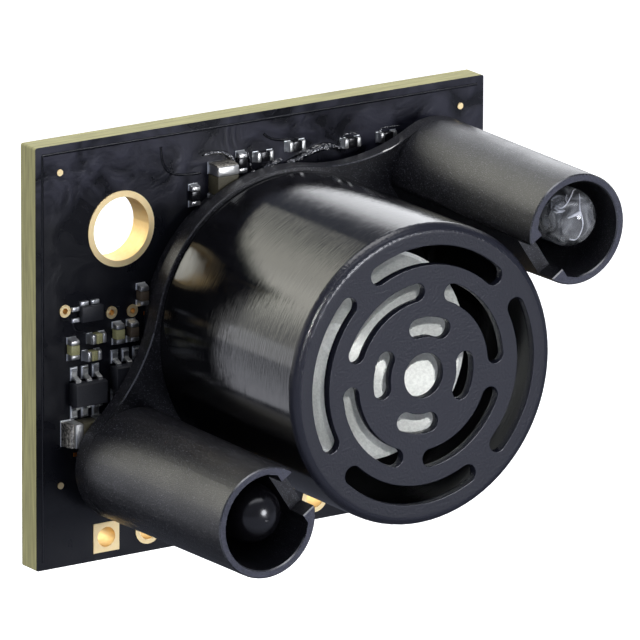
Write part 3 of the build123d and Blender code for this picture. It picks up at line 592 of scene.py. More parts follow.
def lacquered_can(colours):
    """Can: drawn aluminium, gloss lacquer with fine rubbing marks on the side, a dull coat in front."""
    material, tree, place = new_material("lacquered_can")
    centred = add_node(
        tree, "ShaderNodeMapping", {"Vector": place, "Location": (-CAN_CENTRE.x, 0.0, -CAN_CENTRE.z)}
    )
    parts = add_node(tree, "ShaderNodeSeparateXYZ", {"Vector": centred.outputs["Vector"]})
    angle = add_node(
        tree, "ShaderNodeMath", {0: parts.outputs["Z"], 1: parts.outputs["X"]}, operation="ARCTAN2"
    )
    # Rubbing marks run round the can: about 0.07 mm wide and 1.3 mm long
    along = add_node(tree, "ShaderNodeMath", {0: angle.outputs["Value"], 1: 6.0}, operation="MULTIPLY")
    across = add_node(tree, "ShaderNodeMath", {0: parts.outputs["Y"], 1: 14 / MM}, operation="MULTIPLY")
    wrapped = add_node(
        tree, "ShaderNodeCombineXYZ", {"X": along.outputs["Value"], "Y": across.outputs["Value"]}
    )
    marks = add_node(
        tree, "ShaderNodeTexNoise", {"Vector": wrapped.outputs["Vector"], "Scale": 1.0, "Detail": 2.0}
    )
    # Orange peel of the lacquer, about 0.8 mm
    peel = add_node(tree, "ShaderNodeTexNoise", {"Vector": place, "Scale": 1.3 / MM, "Detail": 2.0})
    # The lacquer thickens toward the base, so its surface leans a little forward
    lean = add_node(tree, "ShaderNodeMath", {0: parts.outputs["Y"], 1: 0.055}, operation="MULTIPLY")
    lean_bump = add_node(
        tree, "ShaderNodeBump", {"Height": lean.outputs["Value"], "Strength": 1.0, "Distance": 1.0}
    )
    side_bump = add_node(
        tree,
        "ShaderNodeBump",
        {
            "Height": marks.outputs["Fac"],
            "Strength": 0.5,
            "Distance": 0.01 * MM,
            "Normal": lean_bump.outputs["Normal"],
        },
    )
    gloss = add_node(
        tree,
        "ShaderNodeMapRange",
        {"Value": peel.outputs["Fac"], "From Min": 0.3, "From Max": 0.7, "To Min": 0.08, "To Max": 0.13},
    )
    side = add_node(
        tree,
        "ShaderNodeBsdfPrincipled",
        {
            "Base Color": colours.lacquer,
            "Roughness": gloss.outputs["Result"],
            "IOR": 1.7,
            "Normal": side_bump.outputs["Normal"],
        },
    )
    # Grain of the dull coat, about 0.14 mm
    grain = add_node(tree, "ShaderNodeTexNoise", {"Vector": place, "Scale": 7 / MM, "Detail": 2.0})
    face_bump = add_node(
        tree, "ShaderNodeBump", {"Height": grain.outputs["Fac"], "Strength": 0.7, "Distance": 0.03 * MM}
    )
    # The coat is smoother where it is stretched over the rim
    stretched = add_node(
        tree,
        "ShaderNodeMapRange",
        {
            "Value": parts.outputs["Y"],
            "From Min": CAN_LOW.y + RIM_FROM,
            "From Max": CAN_LOW.y + RIM_SMOOTH,
            "To Min": 0.4,
            "To Max": 0.25,
        },
    )
    face = add_node(
        tree,
        "ShaderNodeBsdfPrincipled",
        {
            "Base Color": colours.face,
            "Roughness": stretched.outputs["Result"],
            "IOR": 1.5,
            "Normal": face_bump.outputs["Normal"],
        },
    )
    # The dull coat starts where the rim begins to turn
    depth = add_node(
        tree,
        "ShaderNodeMapRange",
        {
            "Value": parts.outputs["Y"],
            "From Min": CAN_LOW.y + GLOSS_FROM,
            "From Max": CAN_LOW.y + DULL_TO,
        },
    )
    both = add_node(
        tree,
        "ShaderNodeMixShader",
        {"Fac": depth.outputs["Result"], 1: side.outputs["BSDF"], 2: face.outputs["BSDF"]},
    )
    add_node(tree, "ShaderNodeOutputMaterial", {"Surface": both.outputs["Shader"]})
    return material


def pressed_aluminium(colours):
    """Cone: thin aluminium, pressed and etched, pale and matt with a close mottle."""
    material, tree, place = new_material("pressed_aluminium")
    # Etched grains, about 0.15 mm
    grains = add_node(
        tree, "ShaderNodeTexNoise", {"Vector": place, "Scale": 7 / MM, "Detail": 4.0, "Roughness": 0.6}
    )
    shade = add_node(
        tree,
        "ShaderNodeValToRGB",
        {"Fac": grains.outputs["Fac"]},
        stops=((0.3, darker(colours.cone, 0.78)), (0.66, colours.cone)),
    )
    bump = add_node(
        tree, "ShaderNodeBump", {"Height": grains.outputs["Fac"], "Strength": 0.4, "Distance": 0.03 * MM}
    )
    shader = add_node(
        tree,
        "ShaderNodeBsdfPrincipled",
        {
            "Base Color": shade.outputs["Color"],
            "Metallic": 0.45,
            "Roughness": 0.58,
            "Normal": bump.outputs["Normal"],
        },
    )
    add_node(tree, "ShaderNodeOutputMaterial", {"Surface": shader.outputs["BSDF"]})
    return material


# Materials of the two LEDs


def clear_epoxy(colours):
    """Emitter: cast clear epoxy, glassy, faintly wavy and with a thin haze."""
    material, tree, place = new_material("clear_epoxy")
    # Flow of the casting, about 1.1 mm
    flow = add_node(
        tree, "ShaderNodeTexNoise", {"Vector": place, "Scale": 0.9 / MM, "Detail": 1.0, "Distortion": 1.5}
    )
    bump = add_node(
        tree, "ShaderNodeBump", {"Height": flow.outputs["Fac"], "Strength": 0.25, "Distance": 0.12 * MM}
    )
    # The haze is thicker where the casting set first
    haze = add_node(
        tree,
        "ShaderNodeMapRange",
        {"Value": flow.outputs["Fac"], "From Min": 0.35, "From Max": 0.65, "To Min": 0.98, "To Max": 0.72},
    )
    shader = add_node(
        tree,
        "ShaderNodeBsdfPrincipled",
        {
            "Base Color": colours.clear_lens,
            "Transmission Weight": haze.outputs["Result"],
            "Roughness": 0.05,
            "IOR": 1.53,
            "Normal": bump.outputs["Normal"],
        },
    )
    add_node(tree, "ShaderNodeOutputMaterial", {"Surface": shader.outputs["BSDF"]})
    return material


def dark_epoxy(colours):
    """Receiver: cast epoxy dyed to stop daylight, black and glassy."""
    material, tree, place = new_material("dark_epoxy")
    # Flow of the casting, about 1.2 mm
    flow = add_node(tree, "ShaderNodeTexNoise", {"Vector": place, "Scale": 0.8 / MM, "Detail": 1.0})
    bump = add_node(
        tree, "ShaderNodeBump", {"Height": flow.outputs["Fac"], "Strength": 0.15, "Distance": 0.06 * MM}
    )
    shader = add_node(
        tree,
        "ShaderNodeBsdfPrincipled",
        {
            "Base Color": colours.dark_lens,
            "Roughness": 0.2,
            "IOR": 1.54,
            "Normal": bump.outputs["Normal"],
        },
    )
    add_node(tree, "ShaderNodeOutputMaterial", {"Surface": shader.outputs["BSDF"]})
    return material


# Materials of the small parts


def tin_plating(colours):
    """Legs, ends and pins: matt tin plated on copper, bright grey and slightly uneven."""
    material, tree, place = new_material("tin_plating")
    # Unevenness of the tin, about 0.2 mm
    grain = add_node(tree, "ShaderNodeTexNoise", {"Vector": place, "Scale": 5 / MM, "Detail": 3.0})
    dull = add_node(
        tree,
        "ShaderNodeMapRange",
        {"Value": grain.outputs["Fac"], "From Min": 0.3, "From Max": 0.7, "To Min": 0.3, "To Max": 0.52},
    )
    bump = add_node(
        tree, "ShaderNodeBump", {"Height": grain.outputs["Fac"], "Strength": 0.4, "Distance": 0.04 * MM}
    )
    shader = add_node(
        tree,
        "ShaderNodeBsdfPrincipled",
        {
            "Base Color": colours.tin,
            "Metallic": 1.0,
            "Roughness": dull.outputs["Result"],
            "Normal": bump.outputs["Normal"],
        },
    )
    add_node(tree, "ShaderNodeOutputMaterial", {"Surface": shader.outputs["BSDF"]})
    return material


def tarnished_solder(colours):
    """Heaps on the large capacitors: solder that cooled slowly, grainy, mottled and slightly yellow."""
    material, tree, place = new_material("tarnished_solder")
    # Grains of about 0.12 mm
    grain = add_node(tree, "ShaderNodeTexNoise", {"Vector": place, "Scale": 8 / MM, "Detail": 3.0})
    shade = add_node(
        tree,
        "ShaderNodeValToRGB",
        {"Fac": grain.outputs["Fac"]},
        stops=((0.4, darker(colours.dull_solder, 0.3)), (0.62, colours.dull_solder)),
    )
    bump = add_node(
        tree, "ShaderNodeBump", {"Height": grain.outputs["Fac"], "Strength": 0.8, "Distance": 0.06 * MM}
    )
    shader = add_node(
        tree,
        "ShaderNodeBsdfPrincipled",
        {
            "Base Color": shade.outputs["Color"],
            "Metallic": 1.0,
            "Roughness": 0.42,
            "Normal": bump.outputs["Normal"],
        },
    )
    add_node(tree, "ShaderNodeOutputMaterial", {"Surface": shader.outputs["BSDF"]})
    return material


def drawn_nickel(colours):
    """Clock can: nickel-plated steel lid, drawn and smooth, with a satin sheen."""
    material, tree, place = new_material("drawn_nickel")
    # Slow change of gloss over the lid, about 1.1 mm
    cloud = add_node(tree, "ShaderNodeTexNoise", {"Vector": place, "Scale": 0.9 / MM, "Detail": 2.0})
    dull = add_node(
        tree,
        "ShaderNodeMapRange",
        {"Value": cloud.outputs["Fac"], "From Min": 0.3, "From Max": 0.7, "To Min": 0.28, "To Max": 0.36},
    )
    shader = add_node(
        tree,
        "ShaderNodeBsdfPrincipled",
        {"Base Color": colours.nickel, "Metallic": 1.0, "Roughness": dull.outputs["Result"]},
    )
    add_node(tree, "ShaderNodeOutputMaterial", {"Surface": shader.outputs["BSDF"]})
    return material


def reflowed_solder(colours):
    """Solder: melted and set in place, smooth, bright and slightly wavy."""
    material, tree, place = new_material("reflowed_solder")
    # Waves of the set solder, about 0.4 mm
    wave = add_node(tree, "ShaderNodeTexNoise", {"Vector": place, "Scale": 2.6 / MM, "Detail": 2.0})
    bump = add_node(
        tree, "ShaderNodeBump", {"Height": wave.outputs["Fac"], "Strength": 0.5, "Distance": 0.06 * MM}
    )
    shader = add_node(
        tree,
        "ShaderNodeBsdfPrincipled",
        {
            "Base Color": colours.solder,
            "Metallic": 1.0,
            "Roughness": 0.4,
            "Normal": bump.outputs["Normal"],
        },
    )
    add_node(tree, "ShaderNodeOutputMaterial", {"Surface": shader.outputs["BSDF"]})
    return material


def fired_ceramic(colours):
    """Capacitors: fired ceramic, olive, but brown on the two that stand nearest the transducer."""
    material = speckled(
        "fired_capacitor_ceramic", colours.capacitor, depth=0.25, roughness=0.45, speck=0.06 * MM
    )
    tree = material.node_tree
    shader = next(node for node in tree.nodes if node.type == "BSDF_PRINCIPLED")
    body = shader.inputs["Base Color"].links[0].from_socket
    place = add_node(tree, "ShaderNodeTexCoord").outputs["Object"]
    parts = add_node(tree, "ShaderNodeSeparateXYZ", {"Vector": place})
    right = add_node(
        tree, "ShaderNodeMath", {0: parts.outputs["X"], 1: BROWN_FROM}, operation="GREATER_THAN"
    )
    left = add_node(tree, "ShaderNodeMath", {0: parts.outputs["X"], 1: BROWN_TO}, operation="LESS_THAN")
    brown = add_node(
        tree, "ShaderNodeMath", {0: right.outputs["Value"], 1: left.outputs["Value"]}, operation="MULTIPLY"
    )
    tone = add_node(
        tree,
        "ShaderNodeMix",
        {"Factor": brown.outputs["Value"], "A": body, "B": colours.brown_ceramic},
        data_type="RGBA",
    )
    tree.links.new(tone.outputs["Result"], shader.inputs["Base Color"])
    return material


def reflection_line_paint(colours):
    """Painted reflections: white lines on the clear dome that stand in for the light it reflects and bends.
    """
    material, tree, place = new_material("reflection_line_paint")
    # Breaks along the painted reflections, about 0.4 mm
    cloud = add_node(tree, "ShaderNodeTexNoise", {"Vector": place, "Scale": 2.5 / MM, "Detail": 3.0})
    share = add_node(
        tree,
        "ShaderNodeMapRange",
        {"Value": cloud.outputs["Fac"], "From Min": 0.3, "From Max": 0.7, "To Min": 0.55, "To Max": 1.0},
    )
    shader = add_node(
        tree,
        "ShaderNodeBsdfPrincipled",
        {"Base Color": colours.reflection_white, "Roughness": 0.3, "IOR": 1.53, "Alpha": share.outputs["Result"]},
    )
    add_node(tree, "ShaderNodeOutputMaterial", {"Surface": shader.outputs["BSDF"]})
    return material


def set_adhesive(colours):
    """Adhesive and flux: set clear and glossy over the black mask, with a wrinkled skin."""
    material, tree, place = new_material("set_adhesive")
    # Wrinkles of the skin, about 0.4 mm
    wrinkle = add_node(
        tree, "ShaderNodeTexNoise", {"Vector": place, "Scale": 2.4 / MM, "Detail": 3.0, "Distortion": 0.8}
    )
    bump = add_node(
        tree, "ShaderNodeBump", {"Height": wrinkle.outputs["Fac"], "Strength": 1.0, "Distance": 0.3 * MM}
    )
    shader = add_node(
        tree,
        "ShaderNodeBsdfPrincipled",
        {"Base Color": colours.mask, "Roughness": 0.08, "IOR": 2.6, "Normal": bump.outputs["Normal"]},
    )
    add_node(tree, "ShaderNodeOutputMaterial", {"Surface": shader.outputs["BSDF"]})
    return material


def bare_copper(colours):
    """Two dots by the transducer: copper left bare in the mask, slightly tarnished."""
    material, tree, place = new_material("bare_copper")
    # Grain of the tarnish, about 0.12 mm
    grain = add_node(tree, "ShaderNodeTexNoise", {"Vector": place, "Scale": 8 / MM, "Detail": 2.0})
    bump = add_node(
        tree, "ShaderNodeBump", {"Height": grain.outputs["Fac"], "Strength": 0.3, "Distance": 0.02 * MM}
    )
    shader = add_node(
        tree,
        "ShaderNodeBsdfPrincipled",
        {"Base Color": colours.copper, "Metallic": 1.0, "Roughness": 0.5, "Normal": bump.outputs["Normal"]},
    )
    add_node(tree, "ShaderNodeOutputMaterial", {"Surface": shader.outputs["BSDF"]})
    return material


def speckled(name, base, depth, roughness, speck):
    """A fired, cast or moulded body with fine specks, by their depth of tone and their length."""
    material, tree, place = new_material(name)
    grain = add_node(
        tree, "ShaderNodeTexNoise", {"Vector": place, "Scale": SPECK_SHARE / speck, "Detail": 2.0}
    )
    shade = add_node(
        tree,
        "ShaderNodeValToRGB",
        {"Fac": grain.outputs["Fac"]},
        stops=((0.32, darker(base, 1 - depth)), (0.66, base)),
    )
    bump = add_node(
        tree, "ShaderNodeBump", {"Height": grain.outputs["Fac"], "Strength": 0.3, "Distance": 0.02 * MM}
    )
    shader = add_node(
        tree,
        "ShaderNodeBsdfPrincipled",
        {
            "Base Color": shade.outputs["Color"],
            "Roughness": roughness,
            "Normal": bump.outputs["Normal"],
        },
    )
    add_node(tree, "ShaderNodeOutputMaterial", {"Surface": shader.outputs["BSDF"]})
    return material


# Modelling helpers


def keep_place(piece):
    """Puts the piece's place into its mesh and lets it ride on the sensor."""
    bpy.ops.object.select_all(action="DESELECT")
    piece.select_set(True)
    bpy.context.view_layer.objects.active = piece
    bpy.ops.object.transform_apply(location=True, rotation=True, scale=True)
    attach(piece, "root")
    return piece


def weigh_outer_edges(mesh, room):
    """Gives a full bevel weight to each sharp edge that sticks out, and none to the rest.

    An edge with less room than this to an inner corner is left out, because its bevel would
    fold the face between them.
    """
    sides = {}
    for face in mesh.polygons:
        loops = list(face.loop_indices)
        for here, after in zip(loops, loops[1:] + loops[:1]):
            start = mesh.vertices[mesh.loops[here].vertex_index].co
            run = mesh.vertices[mesh.loops[after].vertex_index].co - start
            inward = face.normal.cross(run)
            sides.setdefault(mesh.loops[here].edge_index, []).append((face.normal, inward))
    outer, corners = [], []
    for edge, pair in sides.items():
        if len(pair) == 2 and pair[0][0].length > 0 and pair[1][0].length > 0:
            if pair[0][0].angle(pair[1][0]) > SHARP:
                start, end = (mesh.vertices[i].co for i in mesh.edges[edge].vertices)
                if pair[1][1].dot(pair[0][0]) < 0:
                    outer.append((edge, (start, (start + end) / 2, end)))
                else:
                    corners.extend(start.lerp(end, step / CORNER_STEPS) for step in range(CORNER_STEPS + 1))
    tree = KDTree(len(corners))
    for number, spot in enumerate(corners):
        tree.insert(spot, number)
    tree.balance()
    weights = mesh.attributes.new("bevel_weight_edge", "FLOAT", "EDGE")
    for edge, spots in outer:
        if not room or not corners or min(tree.find(spot)[2] for spot in spots) > room:
            weights.data[edge].value = 1.0


def softened_copy(node, name, width, material, segments=2, rubbed=None, room=0.0):
    """Stands in for a CAD node with a merged copy of its mesh whose sharp edges are rounded.

    The rounding gets the rubbed material, if one is given.
    """
    piece = bpy.data.objects.new(name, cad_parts[node].data.copy())
    bpy.context.scene.collection.objects.link(piece)
    bpy.ops.object.select_all(action="DESELECT")
    piece.select_set(True)
    bpy.context.view_layer.objects.active = piece
    bpy.ops.mesh.customdata_custom_splitnormals_clear()
    bpy.ops.object.mode_set(mode="EDIT")
    bpy.ops.mesh.select_all(action="SELECT")
    bpy.ops.mesh.remove_doubles(threshold=SAME_POINT)
    bpy.ops.mesh.dissolve_limited(angle_limit=FLAT)
    bpy.ops.object.mode_set(mode="OBJECT")
    weigh_outer_edges(piece.data, room)
    bpy.ops.object.modifier_add(type="BEVEL")
    bevel = piece.modifiers[-1]
    bevel.width = width
    bevel.segments = segments
    bevel.limit_method = "WEIGHT"
    bevel.miter_outer = "MITER_ARC"
    bevel.use_clamp_overlap = False
    piece.data.materials.clear()
    piece.data.materials.append(material)
    if rubbed:
        piece.data.materials.append(rubbed)
        bevel.material = 1
    bpy.ops.object.modifier_apply(modifier=bevel.name)
    bpy.ops.object.shade_smooth_by_angle(angle=SHARP)
    bpy.ops.object.modifier_add(type="WEIGHTED_NORMAL")
    piece.modifiers[-1].keep_sharp = True
    bpy.ops.object.modifier_apply(modifier=piece.modifiers[-1].name)
    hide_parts(node)
    return keep_place(piece)


def solid_boxes(node):
    """Low and high corner of each separate solid in a CAD node."""
    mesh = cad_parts[node].data
    spots = [tuple(round(c / SAME_POINT) for c in vertex.co) for vertex in mesh.vertices]
    owner = {spot: spot for spot in spots}

    def root(spot):
        while owner[spot] != spot:
            owner[spot] = owner[owner[spot]]
            spot = owner[spot]
        return spot

    for face in mesh.polygons:
        first, *rest = (spots[i] for i in face.vertices)
        for other in rest:
            owner[root(other)] = root(first)
    groups = {}
    for vertex, spot in zip(mesh.vertices, spots):
        groups.setdefault(root(spot), []).append(vertex.co)
    return [
        (
            Vector(min(c[i] for c in group) for i in range(3)),
            Vector(max(c[i] for c in group) for i in range(3)),
        )
        for group in groups.values()
    ]


def part_ends(bodies, ends):
    """Each dipped end as its box and the direction in which it points away from its body."""
    found = []
    for low, high in solid_boxes(bodies):
        middle = (low + high) / 2
        for end_low, end_high in solid_boxes(ends):
            reach = [min(high[i], end_high[i]) - max(low[i], end_low[i]) for i in range(3)]
            if min(reach) < -TOUCH:
                continue
            away = (end_low + end_high) / 2 - middle
            along_x = abs(away.x) > abs(away.z)
            across = Vector((1 if away.x > 0 else -1, 0, 0))
            upright = Vector((0, 0, 1 if away.z > 0 else -1))
            found.append((end_low, end_high, across if along_x else upright))
    return found


def on_board(x, z, out, long, wide, tall):
    """Places a unit model on the board's front: its X runs along out, its Z away from the board."""
    up = Vector((0, -1, 0))
    side = up.cross(out)
    place = Matrix((out * long, side * wide, up * tall)).transposed().to_4x4()
    place.translation = Vector((x, BOARD_FRONT, z))
    return place


def end_solder(sizes):
    """Places of the hollow fillets and heaps at the parts' ends, and of the cushions on their pads."""
    fillets, heaps, cushions = [], [], []
    for bodies, ends, rise in FILLETS:
        for low, high, out in part_ends(bodies, ends):
            middle = (low + high) / 2
            half = abs((high - low).dot(out)) / 2
            wide = abs((high - low).dot(Vector((out.z, 0, out.x))))
            tall = (high.y - low.y) * rise
            heaped = tall > HEAP_FROM
            reach = sizes.fillet_reach * (HEAP_REACH if heaped and out.x < 0 else 1)
            foot = middle + out * half
            fillet = on_board(foot.x, foot.z, out, reach, wide * FILLET_WIDTH, tall)
            (heaps if heaped else fillets).append(fillet)
            back = middle - out * half
            long = 2 * half + reach * CUSHION_REACH
            cushions.append(on_board(back.x, back.z, out, long, wide * CUSHION_WIDTH, sizes.pad_cushion))
    return fillets, heaps, cushions


def leg_solder(sizes):
    """Places of the fillets at the six-leg chips' legs, and of the cushions there and at the tiny chip."""
    fillets, cushions = [], []
    chips = [(low + high) / 2 for low, high in solid_boxes("six_leg_chips")]
    for low, high in solid_boxes("six_leg_chip_legs"):
        middle = (low + high) / 2
        chip = min(chips, key=lambda spot: (spot - middle).length)
        sign = 1 if middle.z > chip.z else -1
        tip = high.z if sign > 0 else low.z
        out = Vector((0, 0, sign))
        back, long, wide = LEG_CUSHION
        tall = LEG_CUSHION_LAYERS * sizes.pad_cushion
        cushions.append(on_board(middle.x, tip - sign * back, out, long, wide, tall))
        back, long, wide, tall = LEG_FILLET
        fillets.append(on_board(middle.x, tip - sign * back, out, long, wide, tall))
    left, longer, tall = TINY_CUSHION
    for low, high in solid_boxes("tiny_chip_pads"):
        middle = (low + high) / 2
        long = high.x - low.x + longer
        cushions.append(on_board(low.x - left, middle.z, RIGHT, long, high.z - low.z, tall))
    return fillets, cushions


def unit_block(all_round, width, segments, profile):
    """A block 1 long, 1 wide and 1 high from its back foot, its top edges rounded.

    A low profile hollows them instead. They are shaped all round, or at the front end alone.
    """
    bpy.ops.object.select_all(action="DESELECT")
    bpy.ops.mesh.primitive_cube_add(size=1, location=(0.5, 0, 0.5))
    piece = bpy.context.active_object
    bpy.ops.object.transform_apply(location=True, rotation=False, scale=False)
    bpy.ops.object.mode_set(mode="EDIT")
    bpy.ops.mesh.select_mode(type="VERT")
    bpy.ops.mesh.select_all(action="DESELECT")
    bpy.ops.object.mode_set(mode="OBJECT")
    for vertex in piece.data.vertices:
        vertex.select = vertex.co.z > 0.5 and (all_round or vertex.co.x > 0.5)
    bpy.ops.object.mode_set(mode="EDIT")
    bpy.ops.mesh.bevel(offset=width, segments=segments, profile=profile, affect="EDGES")
    bpy.ops.object.mode_set(mode="OBJECT")
    bpy.ops.object.shade_smooth_by_angle(angle=SOLDER_SHARP)
    return piece


def placed_copies(model, name, places, material):
    """Copies a model to each place with a mesh of its own, joins the copies and drops the model."""
    bpy.ops.object.select_all(action="DESELECT")
    for place in places:
        piece = bpy.data.objects.new(name, model.data.copy())
        piece.data.transform(place)
        bpy.context.scene.collection.objects.link(piece)
        piece.select_set(True)
    bpy.context.view_layer.objects.active = piece
    bpy.ops.object.join()
    bpy.data.objects.remove(model)
    piece.name = name
    piece.data.materials.clear()
    piece.data.materials.append(material)
    return keep_place(piece)


def beads(name, routes, width, height, material):
    """Lays round beads along routes of points and shares of the width.

    With a height, they are flattened to it from the board's front.
    """
    curve = bpy.data.curves.new(name, "CURVE")
    curve.dimensions = "3D"
    curve.bevel_depth = width / 2
    curve.bevel_resolution = 3
    curve.use_fill_caps = True
    for route in routes:
        spline = curve.splines.new("NURBS")
        spline.points.add(len(route) - 1)
        for point, (x, y, z, share) in zip(spline.points, route):
            point.co = (x, y, z, 1)
            point.radius = share
        spline.order_u = 3
        spline.use_endpoint_u = True
    piece = bpy.data.objects.new(name, curve)
    bpy.context.scene.collection.objects.link(piece)
    bpy.ops.object.select_all(action="DESELECT")
    piece.select_set(True)
    bpy.context.view_layer.objects.active = piece
    bpy.ops.object.convert(target="MESH")
    piece = bpy.context.active_object
    if height:
        flat = Matrix.Translation((0, BOARD_FRONT, 0)) @ Matrix.Diagonal((1, 2 * height / width, 1, 1))
        piece.data.transform(flat @ Matrix.Translation((0, -BOARD_FRONT, 0)))
    bpy.ops.object.shade_smooth()
    piece.data.materials.clear()
    piece.data.materials.append(material)
    return keep_place(piece)


# Studio


def seen_rays(tree):
    """Shares of the rays that see a surface straight on, and in a mirror or through clear epoxy."""
    path = add_node(tree, "ShaderNodeLightPath")
    mirrored = add_node(
        tree,
        "ShaderNodeMath",
        {0: path.outputs["Is Glossy Ray"], 1: path.outputs["Is Transmission Ray"]},
        operation="ADD",
    )
    return path.outputs["Is Camera Ray"], mirrored.outputs["Value"]


def ray_at(turn, rise):
    """Direction at an azimuth and a height in degrees, seen from the sensor."""
    return Euler((radians(rise), 0, radians(-turn))).to_matrix() @ Vector((0, 1, 0))


def sheet_share(tree):
    """1 in the directions of the white sheet behind the sensor, 0 elsewhere."""
    place = add_node(tree, "ShaderNodeTexCoord").outputs["Generated"]
    parts = add_node(tree, "ShaderNodeSeparateXYZ", {"Vector": place})
    behind = add_node(
        tree,
        "ShaderNodeMapRange",
        {"Value": parts.outputs["Y"], "From Min": -SHEET_SIDE_BLUR, "From Max": SHEET_SIDE_BLUR},
    )
    low = add_node(
        tree,
        "ShaderNodeMapRange",
        {
            "Value": parts.outputs["Z"],
            "From Min": SHEET_TOP + SHEET_TOP_BLUR,
            "From Max": SHEET_TOP - SHEET_TOP_BLUR,
        },
    )
    both = add_node(
        tree,
        "ShaderNodeMath",
        {0: behind.outputs["Result"], 1: low.outputs["Result"]},
        operation="MULTIPLY",
    )
    return both.outputs["Value"]


def white_floor_paint():
    """Floor: matt white paint, which looks white to the camera and dimmer in gloss."""
    material, tree, place = new_material("white_floor_paint")
    seen, mirrored = seen_rays(tree)
    paint = add_node(tree, "ShaderNodeBsdfDiffuse", {"Color": linear(FLOOR_COLOUR)})
    glow = add_node(tree, "ShaderNodeMath", {0: seen, 1: FLOOR_GLOW}, operation="MULTIPLY")
    light = add_node(tree, "ShaderNodeEmission", {"Strength": glow.outputs["Value"]})
    white = add_node(tree, "ShaderNodeAddShader", {0: paint.outputs["BSDF"], 1: light.outputs["Emission"]})
    parts = add_node(tree, "ShaderNodeSeparateXYZ", {"Vector": place})
    near = add_node(
        tree,
        "ShaderNodeMapRange",
        {
            "Value": parts.outputs["Y"],
            "From Min": FLOOR_BACK_AT,
            "From Max": FLOOR_FRONT_AT,
            "To Min": BACK_FLOOR,
            "To Max": FRONT_FLOOR,
        },
    )
    dim = add_node(
        tree, "ShaderNodeEmission", {"Color": linear(FRONT_TINT), "Strength": near.outputs["Result"]}
    )
    both = add_node(
        tree,
        "ShaderNodeMixShader",
        {"Fac": mirrored, 1: white.outputs["Shader"], 2: dim.outputs["Emission"]},
    )
    add_node(tree, "ShaderNodeOutputMaterial", {"Surface": both.outputs["Shader"]})
    return material


def white_studio():
    """World: a white sheet behind the sensor in a dim room, all white to the camera."""
    world = bpy.data.worlds.new("white_studio")
    world.use_nodes = True
    tree = world.node_tree
    tree.nodes.clear()
    seen, mirrored = seen_rays(tree)
    sheet = sheet_share(tree)
    room = add_node(tree, "ShaderNodeMapRange", {"Value": sheet, "To Min": FRONT_ROOM, "To Max": 1.0})
    plain = add_node(
        tree, "ShaderNodeMapRange", {"Value": mirrored, "To Min": FILL, "To Max": room.outputs["Result"]}
    )
    level = add_node(
        tree, "ShaderNodeMapRange", {"Value": seen, "To Min": plain.outputs["Result"], "To Max": 1.0}
    )
    plain_white = add_node(tree, "ShaderNodeMath", {0: seen, 1: sheet}, operation="MAXIMUM")
    tint = add_node(
        tree,
        "ShaderNodeMix",
        {"Factor": plain_white.outputs["Value"], "A": linear(FRONT_TINT), "B": linear("#ffffff")},
        data_type="RGBA",
    )
    sky = add_node(
        tree, "ShaderNodeBackground", {"Color": tint.outputs["Result"], "Strength": level.outputs["Result"]}
    )
    add_node(tree, "ShaderNodeOutputWorld", {"Surface": sky.outputs["Background"]})
    return world


# Operators


class SENSOR_OT_board(bpy.types.Operator):
    """Masked board with its gold pads and holes"""

    bl_idname = "sensor.board"
    bl_label = "Board"

    def execute(self, context):
        colours = context.scene.sensor_colours
        give(["circuit_board"], masked_laminate(colours))
        give(
            ["mounting_hole_platings", "first_header_pad", "header_pads", "vias", "fiducials"],
            gold_plating(colours),
        )
        return {"FINISHED"}


class SENSOR_OT_holder(bpy.types.Operator):
    """Moulded holder with softened edges"""

    bl_idname = "sensor.holder"
    bl_label = "Holder"

    def execute(self, context):
        sizes, colours = context.scene.sensor_sizes, context.scene.sensor_colours
        holder = softened_copy(
            "sensor_holder",
            "moulded_holder",
            sizes.holder_edge,
            moulded_nylon(colours),
            segments=1,
            rubbed=rubbed_nylon(colours),
            room=ROOM * sizes.holder_edge,
        )
        # The plate's edge round the can isn't rubbed, only those of the webs and tubes
        for polygon in holder.data.polygons:
            out = polygon.center - CAN_CENTRE
            if hypot(out.x, out.z) < CAN_RADIUS + sizes.plate_ledge:
                polygon.material_index = 0
        return {"FINISHED"}


class SENSOR_OT_transducer(bpy.types.Operator):
    """Lacquered can with its grille, and the cone and plates inside"""

    bl_idname = "sensor.transducer"
    bl_label = "Transducer"

    def execute(self, context):
        sizes, colours = context.scene.sensor_sizes, context.scene.sensor_colours
        softened_copy("transducer_can", "grille_can", sizes.can_edge, lacquered_can(colours))
        give(["resonator_cone", "vibrating_plate"], pressed_aluminium(colours))
        # Header: moulded plastic, dull and near black
        give(
            ["transducer_header"],
            speckled("moulded_header", colours.header, depth=0.3, roughness=0.6, speck=0.1 * MM),
        )
        # Seat: cast silicone, pale grey and softly dull
        give(
            ["silicone_seat"],
            speckled("cast_silicone", colours.silicone, depth=0.15, roughness=0.55, speck=0.3 * MM),
        )
        # Disc: fired ceramic, cream and satin
        give(
            ["piezo_disc"],
            speckled("fired_piezo_ceramic", colours.piezo, depth=0.2, roughness=0.45, speck=0.1 * MM),
        )
        return {"FINISHED"}


